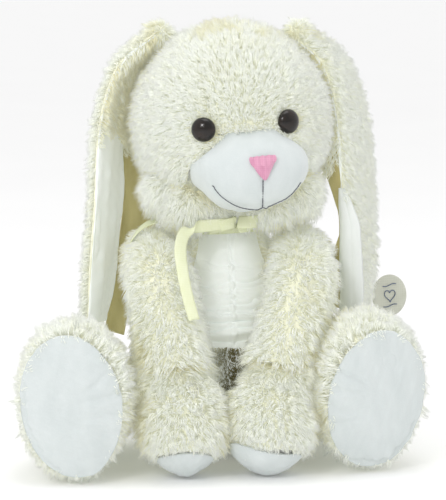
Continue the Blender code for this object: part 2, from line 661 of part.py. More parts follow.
# ---------------------------------------------------------------- legs and feet
for label in SIDES:
    leg_frame = frame_at(f"leg_{label}_frame", HIP[label], TORSO)
    turn = Matrix.Rotation(FOOT_YAW[label], 3, "Z") @ Matrix.Rotation(FOOT_LEAN[label], 3, "X")
    forward, side_way, up_way = turn @ -Y_AXIS, turn @ X_AXIS, turn @ Z_AXIS

    def foot_rings(rows, inset, angles, push=0.0):
        return [
            ring_points(FOOT_CENTRE[label] + forward * (at - push), side_way, up_way,
                        *(max(half * share - inset, 0.0) for half in FOOT_HALF), angles)
            for at, share in rows
        ]

    foot_angles = around(20)
    cover = plate(foot_rings(FOOT_RINGS, 0.0, foot_angles),
                  foot_rings(FOOT_RINGS, COVER, foot_angles), wrapped=True)
    add_piece(f"foot_{label}_cover", cover, FUR, leg_frame)
    sole = plate(foot_rings(SOLE_RINGS, 0.0, foot_angles),
                 foot_rings(SOLE_RINGS, 0.0, foot_angles, SMOOTH_COVER), wrapped=True)
    add_piece(f"foot_{label}_sole", close_poles(sole), PLUSH, leg_frame)
    foot_core = foot_rings(FOOT_CORE_RINGS, COVER + CORE_GAP, limb_angles)
    add_piece(f"foot_{label}_stuffing", loft(foot_core), STUFFING, leg_frame)

    # The leg runs from the hip to the opening in the back of the foot.
    heel = FOOT_CENTRE[label] + forward * (FOOT_RINGS[0][0] - 0.0012) - up_way * 0.030
    root = HIP[label]
    way = (heel - root).normalized()
    across = Z_AXIS.cross(way).normalized()
    upward = way.cross(across).normalized()

    def leg_rings(rows, inset, angles):
        rings = []
        for share in rows:
            middle = root.lerp(heel, share)
            radius = LEG_RADII[0] + (LEG_RADII[1] - LEG_RADII[0]) * share - inset
            tilt_across = across.lerp(side_way, share).normalized()
            tilt_up = upward.lerp(up_way, share).normalized()
            rings.append(ring_points(middle, tilt_across, tilt_up, radius, radius, angles))
        return rings

    sleeve = plate(leg_rings(spread(0.0, 1.0, 3), 0.0, limb_angles),
                   leg_rings(spread(0.0, 1.0, 3), COVER, limb_angles), wrapped=True)
    add_piece(f"leg_{label}_cover", sleeve, FUR, leg_frame)
    add_piece(f"leg_{label}_stuffing", loft(leg_rings(spread(0.0, 1.0, 3), COVER + CORE_GAP, limb_angles)),
              STUFFING, leg_frame)

# ---------------------------------------------------------------- tail


def tail_rings(first, last, steps, inset):
    """Rings of the tail's ball, in degrees from its far end."""
    radius = TAIL_RADIUS - inset
    arc = [math.radians(a) for a in spread(first, last, steps)]
    profile = [(radius * math.cos(a), radius * math.sin(a)) for a in arc]
    return turned(TAIL_CENTRE, Y_AXIS, profile, limb_angles)


tail_cover = plate(tail_rings(0, 148, 8, 0.0), tail_rings(0, 148, 8, COVER), wrapped=True)
add_piece("tail_cover", close_poles(tail_cover), FUR, TAIL)
add_piece("tail_stuffing", loft(tail_rings(5, 146, 7, COVER + CORE_GAP)), STUFFING, TAIL)

# ---------------------------------------------------------------- ribbon
COLLAR_HEIGHT = 0.226
COLLAR_HALF = (0.0465, 0.0555)
COLLAR_CENTRE_Y = 0.008


def collar_rows(inset):
    rows = []
    for height in (-RIBBON_WIDTH / 2, RIBBON_WIDTH / 2):
        centre = Vector((TORSO_X, COLLAR_CENTRE_Y, COLLAR_HEIGHT + height))
        rows.append(ring_points(centre, X_AXIS, -Y_AXIS,
                                COLLAR_HALF[0] - inset, COLLAR_HALF[1] - inset, around(28)))
    return rows


collar = plate(collar_rows(0.0), collar_rows(RIBBON_THICKNESS), wrapped=True)
add_piece("ribbon_collar", collar, RIBBON, TORSO)

KNOT_CENTRE = Vector((0.0165, -0.0530, 0.2290))
KNOT_HALF = (0.0080, 0.0040, 0.0070)
knot_rings = [
    ring_points(KNOT_CENTRE + X_AXIS * (KNOT_HALF[0] * at), Y_AXIS, Z_AXIS,
                KNOT_HALF[1] * share, KNOT_HALF[2] * share, around(12))
    for at, share in ((-1.0, 0.55), (-0.6, 0.92), (0.0, 1.0), (0.6, 0.92), (1.0, 0.55))
]
add_piece("bow_knot", loft(knot_rings), RIBBON, TORSO)


def strip(points, width_ways, width):
    """A flat ribbon through points, with its width along a direction given at each of them."""
    rings = []
    for i, here in enumerate(points):
        before, after = points[max(i - 1, 0)], points[min(i + 1, len(points) - 1)]
        way = (after - before).normalized()
        wide = width_ways[i].normalized()
        deep = way.cross(wide).normalized() * RIBBON_THICKNESS / 2
        half = wide * width / 2
        rings.append([here - half - deep, here + half - deep, here + half + deep, here - half + deep])
    return loft(rings)


def bow_loop(direction, length, depth, fall):
    """A flattened ring of ribbon that starts and ends at the knot."""
    points = []
    for a in spread(-150, 150, 12):
        angle = math.radians(a)
        reach = length / 2 * (1 + math.cos(angle))
        points.append(KNOT_CENTRE + Vector((
            direction * (KNOT_HALF[0] + 0.0016 + reach),
            depth * math.sin(angle) - 0.001,
            -fall * reach / length,
        )))
    ways = [Vector((0.12 * direction, 0.25, 1))] * len(points)
    return strip(points, ways, RIBBON_WIDTH * 0.8)


add_piece("bow_loop_right", bow_loop(-1, 0.021, 0.0055, 0.004), RIBBON, TORSO)
add_piece("bow_loop_left", bow_loop(1, 0.014, 0.0045, 0.001), RIBBON, TORSO)

# The front tail crosses the chest, turns over and hangs down just inside the right arm.
TAIL_FRONT = (
    (0.004, -0.0640, 0.2245), (-0.010, -0.0685, 0.2275), (-0.0220, -0.0740, 0.2260),
    (-0.0275, -0.0790, 0.2120), (-0.0285, -0.0830, 0.1880), (-0.0285, -0.0870, 0.1610),
    (-0.0280, -0.0900, 0.1330),
)
tail_shares = spread(0, 1, 14)
tail_points = [catmull([Vector(p) for p in TAIL_FRONT], share) for share in tail_shares]
tail_ways = [
    Vector((0, -0.35, 1)).lerp(Vector((0.7, -0.7, 0)), min(share * 2.2, 1)) for share in tail_shares
]
add_piece("ribbon_tail_front", strip(tail_points, tail_ways, RIBBON_WIDTH), RIBBON, TORSO)

# The other tail lies over the right shoulder, under the ear.
TAIL_SHOULDER = (
    (-0.0460, -0.014, 0.2310), (-0.0600, -0.016, 0.2325), (-0.0760, -0.016, 0.2310),
    (-0.0870, -0.016, 0.2240),
)
shoulder_points = [catmull([Vector(p) for p in TAIL_SHOULDER], share) for share in spread(0, 1, 6)]
add_piece("ribbon_tail_shoulder", strip(shoulder_points, [Y_AXIS] * len(shoulder_points), RIBBON_WIDTH),
          RIBBON, TORSO)
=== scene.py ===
"""The finished look of a seated lop-eared plush rabbit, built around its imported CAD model.

Every furry cover becomes a knitted skin with thousands of curved, tapered tufts. The smooth
panels, eyes, nose, mouth, ribbon and labels are rebuilt in detail where the CAD nodes lie.
Metres, +Z up; the rabbit faces -Y, and "right" is the rabbit's own right (-X).
"""

import json
import math

import bmesh
import bpy
import numpy as np
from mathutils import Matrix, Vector
from mathutils.bvhtree import BVHTree
from mathutils.kdtree import KDTree


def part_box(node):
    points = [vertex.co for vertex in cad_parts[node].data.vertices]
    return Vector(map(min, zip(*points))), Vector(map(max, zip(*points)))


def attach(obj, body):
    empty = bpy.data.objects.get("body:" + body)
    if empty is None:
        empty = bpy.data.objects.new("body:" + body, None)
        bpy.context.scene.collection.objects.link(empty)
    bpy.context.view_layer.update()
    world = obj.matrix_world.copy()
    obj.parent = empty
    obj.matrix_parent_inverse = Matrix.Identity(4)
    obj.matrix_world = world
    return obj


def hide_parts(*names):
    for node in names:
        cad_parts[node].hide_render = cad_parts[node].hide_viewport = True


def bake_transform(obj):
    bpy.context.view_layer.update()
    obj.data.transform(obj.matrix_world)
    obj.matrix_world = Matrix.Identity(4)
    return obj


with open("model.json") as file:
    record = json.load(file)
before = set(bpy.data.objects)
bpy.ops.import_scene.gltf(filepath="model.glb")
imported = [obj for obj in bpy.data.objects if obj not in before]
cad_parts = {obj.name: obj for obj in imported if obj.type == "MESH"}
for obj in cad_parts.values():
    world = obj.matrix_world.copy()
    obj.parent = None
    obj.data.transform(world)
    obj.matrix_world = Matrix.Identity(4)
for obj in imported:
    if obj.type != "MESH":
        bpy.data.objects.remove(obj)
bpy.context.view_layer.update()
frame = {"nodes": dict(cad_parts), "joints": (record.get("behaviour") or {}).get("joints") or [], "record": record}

NODES = frame["nodes"]
BODY = {node: body for body, nodes in frame["record"]["behaviour"]["bodies"].items() for node in nodes}
JOINTS = {joint["name"]: joint for joint in frame["joints"]}
SLOT = {part["node"]: part["material_slot"] for part in frame["record"]["subparts"]}
SIDES = {"right": -1, "left": 1}
UP = np.array((0.0, 0.0, 1.0))
FRONT = np.array((0.0, -1.0, 0.0))
WELD = 0.00002

FLOOR_CLEARANCE = 0.0006
GOLDEN_SHARE = 0.381966
TUFT_STEPS = (0.0, 0.5)                 # where a tuft has its rings of three points
TUFT_TAPER = (1.0, 0.8)
MOST_TUFTS = 19000                      # in one piece
TONES, SHADES = 6, 3                    # columns of tufts in the texture map
TUFT_WIDTH = 0.00095
TUFT_CURL = 0.0012
LOCK_REACH = 0.008                      # tufts farther from their lock's middle stand alone
CROWN_Z = 0.396                         # the straw-toned patches on the crown start here
TUFTS_PER_SQUARE_METRE = 600000


# ---------------------------------------------------------------- camera
def in_scene(name, data):
    """A new object in the scene."""
    made = bpy.data.objects.new(name, data)
    bpy.context.scene.collection.objects.link(made)
    return made


def aim(thing, place, target):
    thing.location = place
    thing.rotation_euler = (Vector(target) - Vector(place)).to_track_quat("-Z", "Y").to_euler()


AZIMUTH, ELEVATION = math.radians(-6.0), math.radians(7.5)
DISTANCE = 2.2
LOOK_AT = Vector((0.001, 0.0, 0.198))
VIEW_HEIGHT = 0.5                       # metres at the rabbit
SENSOR = 36.0
camera = in_scene("camera", bpy.data.cameras.new("camera"))
bpy.context.scene.camera = camera
camera.data.sensor_width = SENSOR
camera.data.lens = SENSOR * DISTANCE / VIEW_HEIGHT
away = Vector((math.sin(AZIMUTH) * math.cos(ELEVATION), -math.cos(AZIMUTH) * math.cos(ELEVATION),
               math.sin(ELEVATION)))
aim(camera, LOOK_AT + away * DISTANCE, LOOK_AT)
VIEW_ACROSS = np.array((math.cos(AZIMUTH), math.sin(AZIMUTH), 0.0))
VIEW_AWAY = np.array(away)
VIEW_UP = np.cross(VIEW_AWAY, VIEW_ACROSS)


def seen(across, up, depth):
    """The point with the given Y that the camera sees this far across and above its target."""
    sideways = Vector((math.cos(AZIMUTH), math.sin(AZIMUTH), 0.0))
    start = LOOK_AT + away * DISTANCE
    way = LOOK_AT + sideways * across + sideways.cross(away) * -up - start
    return np.array(start + way * ((depth - start.y) / way.y))


# ---------------------------------------------------------------- materials
def shader_tree(name):
    made = bpy.data.materials.new(name)
    made.use_nodes = True
    tree = made.node_tree
    return made, tree, tree.nodes["Principled BSDF"]


def node(tree, kind, **settings):
    made = tree.nodes.new(kind)
    for key, value in settings.items():
        if key in made.inputs:
            made.inputs[key].default_value = value
        else:
            setattr(made, key, value)
    return made


def mixed(tree, share, first, second, how="MIX"):
    """A mix of two colours, with a constant share of the second."""
    made = node(tree, "ShaderNodeMix", data_type="RGBA", blend_type=how, Factor=share)
    for index, colour in ((6, first), (7, second)):
        tree.links.new(colour, made.inputs[index])
    return made.outputs[2]


def math_of(tree, how, first, second):
    """The second value is a socket or a constant."""
    made = node(tree, "ShaderNodeMath", operation=how)
    tree.links.new(first, made.inputs[0])
    if isinstance(second, bpy.types.NodeSocket):
        tree.links.new(second, made.inputs[1])
    else:
        made.inputs[1].default_value = second
    return made.outputs[0]


def place(tree, scale=(1.0, 1.0, 1.0)):
    """Object coordinates in metres, stretched."""
    where = node(tree, "ShaderNodeTexCoord")
    mapping = node(tree, "ShaderNodeMapping", Scale=scale)
    tree.links.new(where.outputs["Object"], mapping.inputs["Vector"])
    return mapping.outputs["Vector"]


def speckle(tree, scale, detail=3.0, stretch=(1.0, 1.0, 1.0)):
    made = node(tree, "ShaderNodeTexNoise", Scale=scale, Detail=detail)
    tree.links.new(place(tree, stretch), made.inputs["Vector"])
    return made.outputs["Fac"]


def ramp(tree, factor, *stops):
    made = node(tree, "ShaderNodeValToRGB")
    tree.links.new(factor, made.inputs["Fac"])
    elements = made.color_ramp.elements
    while len(elements) < len(stops):
        elements.new(0.5)
    for element, (at, colour) in zip(elements, stops):
        element.position = at
        element.color = (*colour, 1.0)
    return made.outputs["Color"]


def bump(tree, shader, height, strength, distance):
    made = node(tree, "ShaderNodeBump", Strength=strength, Distance=distance)
    tree.links.new(height, made.inputs["Height"])
    tree.links.new(made.outputs["Normal"], shader.inputs["Normal"])


def finish_of(shader, roughness, sheen=0.0, sheen_tint=(1, 1, 1), specular=0.5, **others):
    shader.inputs["Roughness"].default_value = roughness
    shader.inputs["Sheen Weight"].default_value = sheen
    shader.inputs["Sheen Roughness"].default_value = 0.5
    shader.inputs["Sheen Tint"].default_value = (*sheen_tint, 1.0)
    shader.inputs["Specular IOR Level"].default_value = specular
    for key, value in others.items():
        shader.inputs[key.replace("_", " ").title()].default_value = value


def attribute(tree, name):
    return node(tree, "ShaderNodeAttribute", attribute_name=name).outputs["Fac"]


# The last colour given is that of the deepest painted shade.
def fur_material(name, painted_glow, sheen, depth=(0.83, 0.77, 0.50)):
    """Curly pile: straw at the root as painted shade deep in the pile, ivory along it and white at the tip; painted
    ochre shade deep between limbs.

    The emission, of the strength given, is a painted glow: it stands for the light that real fibres pass on to each
    other deep in the pile.
    """
    made, tree, shader = shader_tree(name)
    along, tone, shade = (attribute(tree, name) for name in ("along", "tone", "shade"))
    # Painted shade: the straw at the root stands for the shade deep in the pile.
    length_colour = ramp(tree, along, (0.0, (0.89, 0.88, 0.74)), (0.4, (0.94, 0.95, 0.885)),
                         (1.0, (0.95, 0.97, 0.94)))
    lock_colour = ramp(tree, tone, (0.0, (0.955, 0.94, 0.86)), (0.35, (0.99, 0.99, 0.97)), (1.0, (1.0, 1.0, 1.0)))
    colour = mixed(tree, 1.0, length_colour, lock_colour, "MULTIPLY")
    patches = ramp(tree, speckle(tree, 22.0, 2.0), (0.35, (0.975, 0.97, 0.93)), (0.62, (1.0, 1.0, 1.0)))
    colour = mixed(tree, 0.6, colour, patches, "MULTIPLY")
    # Painted shade towards the last colour given, where the shade value is high; the crown's own straw patches come
    # through it too.
    deep = ramp(tree, shade, (0.0, (1.0, 1.0, 1.0)), (0.5, (0.975, 0.96, 0.87)), (1.0, depth))
    tree.links.new(mixed(tree, 1.0, colour, deep, "MULTIPLY"), shader.inputs["Base Color"])
    # The emission is a painted glow over the whole pile.
    finish_of(shader, 0.85, sheen=sheen, sheen_tint=(1.0, 0.99, 0.94), specular=0.15, emission_strength=painted_glow)
    shader.inputs["Emission Color"].default_value = (0.86, 0.91, 0.85, 1.0)
    return made


def plush_material(name, light, dark, painted_glow=0.0):
    """Short velvety pile: fine nap, faint brushed patches, a soft sheen and an even emission of the strength given, a
    painted glow.
    """
    made, tree, shader = shader_tree(name)
    brushed = ramp(tree, speckle(tree, 60.0, 4.0, (1.0, 1.0, 0.45)), (0.3, dark), (0.7, light))
    nap = speckle(tree, 1400.0, 2.0)
    tips = ramp(tree, nap, (0.3, dark), (0.7, (1, 1, 1)))
    tree.links.new(mixed(tree, 0.10, brushed, tips), shader.inputs["Base Color"])
    height = math_of(tree, "ADD", math_of(tree, "MULTIPLY", nap, 0.6), speckle(tree, 320.0, 3.0))
    bump(tree, shader, height, 0.35, 0.0006)
    # The emission is a painted glow.
    finish_of(shader, 0.9, sheen=0.45, specular=0.2, emission_strength=painted_glow)
    shader.inputs["Emission Color"].default_value = (0.90, 0.94, 0.92, 1.0)
    return made


def woven_material(name, light, dark, pitch, roughness, sheen=0.2, sheen_tint=(1, 1, 1), **others):
    """Cloth of two crossing threads, pitch in threads a metre."""
    made, tree, shader = shader_tree(name)
    threads = []
    for axis in ("X", "Z"):
        wave = node(tree, "ShaderNodeTexWave", bands_direction=axis, Scale=pitch / 20.0, Distortion=0.4)
        tree.links.new(place(tree), wave.inputs["Vector"])
        threads.append(wave.outputs["Fac"])
    weave = math_of(tree, "MAXIMUM", *threads)
    uneven = speckle(tree, 90.0, 4.0)
    shade = math_of(tree, "ADD", math_of(tree, "MULTIPLY", weave, 0.35), math_of(tree, "MULTIPLY", uneven, 0.65))
    tree.links.new(ramp(tree, shade, (0.25, dark), (0.75, light)), shader.inputs["Base Color"])
    bump(tree, shader, weave, 0.25, 0.0003)
    finish_of(shader, roughness, sheen=sheen, sheen_tint=sheen_tint, **others)
    return made


def plastic_material(name, light, dark, roughness, coat):
    made, tree, shader = shader_tree(name)
    tree.links.new(ramp(tree, speckle(tree, 160.0, 3.0), (0.35, dark), (0.7, light)), shader.inputs["Base Color"])
    bump(tree, shader, speckle(tree, 700.0, 2.0), 0.03, 0.0002)
    finish_of(shader, roughness, specular=0.05, coat_weight=coat, coat_roughness=0.02)
    return made


def fibre_material():
    made, tree, shader = shader_tree("polyester_fibre")
    strands = speckle(tree, 420.0, 5.0, (1.0, 0.3, 1.0))
    colour = ramp(tree, strands, (0.3, (0.74, 0.74, 0.73)), (0.7, (0.92, 0.92, 0.92)))
    tree.links.new(colour, shader.inputs["Base Color"])
    bump(tree, shader, strands, 0.6, 0.002)
    finish_of(shader, 1.0, sheen=0.3, specular=0.1)
    return made


# The pile glows a little: painted light.
FUR = fur_material("ivory_curly_pile", 0.15, 0.15)
# Darker pile without glow, for low between the legs: painted shade.
PAINTED_SHADE_FUR = fur_material("shaded_curly_pile", 0.0, 0.0, (0.26, 0.23, 0.11))
PLUSH = plush_material("white_velvet_plush", (0.67, 0.715, 0.71), (0.61, 0.66, 0.655))
# The ear lining is the white plush painted brighter, with a glow: painted light.
LIT_LINING_PLUSH = plush_material("ear_lining_plush", (0.90, 0.93, 0.91), (0.85, 0.88, 0.86), 0.14)
HEM_PLUSH = plush_material("ear_hem_plush", (0.84, 0.87, 0.84), (0.78, 0.81, 0.78))
# The belly is the white plush painted brighter, with a glow: painted light where the head shades it.
LIT_BELLY_PLUSH = plush_material("belly_plush", (0.90, 0.93, 0.91), (0.85, 0.88, 0.86), 0.11)
NOSE_SATIN = woven_material("pink_satin", (0.74, 0.36, 0.50), (0.58, 0.22, 0.36), 3200, 0.42, sheen=0.4,
                            sheen_tint=(1.0, 0.8, 0.85), anisotropic=0.4)
RIBBON_SATIN = woven_material("yellow_satin_ribbon", (0.86, 0.895, 0.64), (0.78, 0.815, 0.50), 4200, 0.38, sheen=0.35,
                              sheen_tint=(1.0, 1.0, 0.85), anisotropic=0.5)
THREAD = woven_material("grey_thread", (0.13, 0.14, 0.17), (0.05, 0.05, 0.07), 5200, 0.6)
EYE_GLOSS = plastic_material("dark_brown_eye", (0.020, 0.011, 0.007), (0.005, 0.004, 0.003), 0.10, 0.8)
WASHER = plastic_material("washer_plastic", (0.86, 0.86, 0.83), (0.76, 0.76, 0.72), 0.45, 0.1)
LABEL_CLOTH = woven_material("label_cloth", (0.62, 0.63, 0.54), (0.52, 0.53, 0.44), 2600, 0.6)
LABEL_THREAD = woven_material("dark_blue_thread", (0.09, 0.14, 0.26), (0.04, 0.07, 0.15), 4800, 0.55)
PELLET_CLOTH = woven_material("pellet_bag_cloth", (0.72, 0.68, 0.58), (0.58, 0.53, 0.43), 1200, 0.9)
# Ochre plush for the shaded side of the ear folds: painted shade.
SHADED_FOLD_PLUSH = plush_material("ochre_shaded_plush", (0.66, 0.58, 0.27), (0.50, 0.43, 0.17))
FIBRE = fibre_material()


# ---------------------------------------------------------------- meshes
def mesh_from(bm, name):
    mesh = bpy.data.meshes.new(name)
    bm.to_mesh(mesh)
    bm.free()
    return mesh


def welded(*names):
    """The CAD nodes' meshes as one bmesh, with shared points and quads where they were quads."""
    bm = bmesh.new()
    for name in names:
        bm.from_mesh(NODES[name].data)
    bmesh.ops.remove_doubles(bm, verts=bm.verts, dist=WELD)
    bmesh.ops.join_triangles(bm, faces=bm.faces, angle_face_threshold=0.5, angle_shape_threshold=0.9)
    return bm


def subdivided(bm, levels, crease=0.6, crease_angle=55.0):
    """A smooth mesh from a bmesh, keeping its sharp rims."""
    layer = bm.edges.layers.float.get("crease_edge") or bm.edges.layers.float.new("crease_edge")
    for edge in bm.edges:
        if len(edge.link_faces) == 2 and edge.calc_face_angle() > math.radians(crease_angle):
            edge[layer] = crease
    rough = mesh_from(bm, "rough")
    holder = in_scene("rough", rough)
    step = holder.modifiers.new("smooth", "SUBSURF")
    step.levels = step.render_levels = levels
    smooth = bpy.data.meshes.new_from_object(holder.evaluated_get(bpy.context.evaluated_depsgraph_get()))
    bpy.data.objects.remove(holder)
    bpy.data.meshes.remove(rough)
    return smooth


def arrays(mesh):
    """A mesh's points and triangles."""
    mesh.calc_loop_triangles()
    points = np.zeros(len(mesh.vertices) * 3)
    triangles = np.zeros(len(mesh.loop_triangles) * 3, np.int32)
    mesh.vertices.foreach_get("co", points)
    mesh.loop_triangles.foreach_get("vertices", triangles)
    return points.reshape(-1, 3), triangles.reshape(-1, 3)


def joined(*surfaces):
    """Several surfaces' points and triangles as one."""
    starts = np.cumsum([0] + [len(points) for points, _ in surfaces])
    return (np.concatenate([points for points, _ in surfaces]),
            np.concatenate([triangles + start for (_, triangles), start in zip(surfaces, starts)]))


def unit(vectors):
    return vectors / np.maximum(np.linalg.norm(vectors, axis=-1, keepdims=True), 1e-12)


def towards(vector, way):
    """The vector or its opposite, whichever points more in a given way."""
    return vector if vector @ way > 0 else -vector


def face_normals(points, triangles):
    """Each triangle's normal, as long as twice its area."""
    corner = points[triangles]
    return np.cross(corner[:, 1] - corner[:, 0], corner[:, 2] - corner[:, 0])


def point_normals(points, triangles):
    normals = np.zeros_like(points)
    face = face_normals(points, triangles)
    for k in range(3):
        np.add.at(normals, triangles[:, k], face)
    return unit(normals)


def ripples(points, wavelength, seed, waves=7):
    """Smooth noise, about -1 to 1: sine waves that run in random directions."""
    rng = np.random.default_rng(seed)
    total = np.zeros(len(points))
    for _ in range(waves):
        way = unit(rng.normal(size=3))
        total += np.sin(points @ way * (math.tau / (wavelength * rng.uniform(0.7, 1.5))) + rng.uniform(0, math.tau))
    return total / math.sqrt(waves)


def search_tree(points, triangles):
    return BVHTree.FromPolygons(points.tolist(), triangles.tolist())


def tree_of(*names):
    """A search tree of CAD nodes' surfaces."""
    return search_tree(*joined(*(arrays(NODES[name].data) for name in names)))


def nearest(tree, points):
    return np.array([tree.find_nearest(p)[0] for p in points])


def show(name, mesh, look, stands_for, body=None, slot=None, blended=None):
    """Puts a mesh into the scene as the piece that stands for some CAD nodes, or that adds to its body."""
    mesh.materials.clear()
    mesh.materials.append(look)
    mesh.shade_smooth()
    piece = in_scene(name, mesh)
    if blended:
        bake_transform(piece)
    else:
        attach(piece, body or BODY[stands_for[0]])
    if stands_for:
        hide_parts(*stands_for)
        slot = slot or SLOT[stands_for[0]]
    return piece


def set_points(mesh, points):
    mesh.vertices.foreach_set("co", points.ravel())
    mesh.update()
    return mesh


def moved(mesh, offset):
    """Moves a mesh's points along their normals by offset(points)."""
    points, triangles = arrays(mesh)
    return set_points(mesh, points + point_normals(points, triangles) * offset(points)[:, None])


def smooth_line(points, steps):
    """A smooth curve through the points, at even shares of its spans."""
    points = [np.array(p) for p in points]
    last = len(points) - 1
    line = []
    for at in np.linspace(0, last, steps):
        i = min(int(at), last - 1)
        t = at - i
        p1, p2 = points[i], points[i + 1]
        p0 = points[i - 1] if i else 2 * p1 - p2
        p3 = points[i + 2] if i + 2 <= last else 2 * p2 - p1
        line.append(0.5 * (2 * p1 + (p2 - p0) * t + (2 * p0 - 5 * p1 + 4 * p2 - p3) * t * t
                           + (3 * p1 - p0 - 3 * p2 + p3) * t ** 3))
    return np.array(line)


def between_rings(count, sides, closed=False):
    """The triangles between a row's rings of points."""
    size = count * sides
    faces = []
    for i in range(count if closed else count - 1):
        for k in range(sides):
            a, b = i * sides + k, i * sides + (k + 1) % sides
            faces += [(a, b, (b + sides) % size), (a, (b + sides) % size, (a + sides) % size)]
    return faces


def over_ends(count, sides):
    """The triangles that close the first and the last ring of a row."""
    last = (count - 1) * sides
    return [face for k in range(1, sides - 1) for face in ((0, k + 1, k), (last, last + k, last + k + 1))]


def tube(points, radii, sides=8):
    """Points and triangles of a closed tube."""
    points = np.asarray(points)
    along = unit(np.gradient(points, axis=0))
    across = unit(np.cross(along, UP + 1e-3))
    other = unit(np.cross(along, across))
    rings = []
    for k in range(sides):
        a = math.tau * k / sides
        rings.append(points + np.asarray(radii)[:, None] * (across * math.cos(a) + other * math.sin(a)))
    faces = between_rings(len(points), sides) + over_ends(len(points), sides)
    return np.stack(rings, axis=1).reshape(-1, 3), np.array(faces)


def turned(base, axis, profile, columns=48):
    """A closed solid of revolution through (height, radius) pairs that starts and ends on its axis."""
    across = unit(np.cross(axis, UP + 0.01))
    other = np.cross(axis, across)
    angles = np.arange(columns) * math.tau / columns
    points = []
    for height, radius in profile[1:-1]:
        points += [base + axis * height + radius * (across * math.cos(a) + other * math.sin(a)) for a in angles]
    rows = len(profile) - 2
    faces = between_rings(rows, columns)
    points += [base + axis * profile[0][0], base + axis * profile[-1][0]]
    for k in range(columns):
        faces.append((rows * columns, (k + 1) % columns, k))
        last = (rows - 1) * columns
        faces.append((rows * columns + 1, last + k, last + (k + 1) % columns))
    return np.array(points), np.array(faces)


def ball(centre, radius, rows=10, columns=16):
    """Points and triangles of a round cap for a limb's open end."""
    rises = np.radians(np.linspace(-90, 90, rows + 1))
    return turned(centre, UP, [(radius * math.sin(a), radius * math.cos(a)) for a in rises], columns)


def mesh_of(name, *parts):
    """One mesh from several sets of points and triangles."""
    bm = bmesh.new()
    for points, triangles in parts:
        vertices = [bm.verts.new(p) for p in points]
        for face in triangles:
            bm.faces.new([vertices[i] for i in face])
    bmesh.ops.recalc_face_normals(bm, faces=bm.faces)
    return mesh_from(bm, name)


# ---------------------------------------------------------------- fur
def scattered(points, triangles, per_square_metre, rng):
    """Roots spread evenly over triangles, with their smooth normals."""
    area = np.linalg.norm(face_normals(points, triangles), axis=1) / 2
    count = max(int(area.sum() * per_square_metre), 1)
    order = rng.permutation(len(triangles))
    reach = np.cumsum(area[order])
    at = (np.arange(count) + rng.random(count)) / count * reach[-1]
    chosen = triangles[order[np.minimum(np.searchsorted(reach, at), len(order) - 1)]]
    u, v = rng.random((2, count, 1))
    u, v = np.where(u + v > 1, 1 - u, u), np.where(u + v > 1, 1 - v, v)
    weights = np.concatenate([1 - u - v, u, v], axis=1)[:, :, None]
    normals = point_normals(points, triangles)
    return (points[chosen] * weights).sum(1), unit((normals[chosen] * weights).sum(1))


def hidden_share(roots, normals, rng, rays=3, lift=0.009, reach=0.05):
    """How much of what a root looks out on is another part of the rabbit."""
    hits = np.zeros(len(roots))
    for _ in range(rays):
        ways = unit(normals + rng.normal(size=roots.shape) * 0.45)
        starts = roots + normals * lift
        hits += [EVERYTHING.ray_cast(start, way, reach)[0] is not None for start, way in zip(starts, ways)]
    return hits / rays


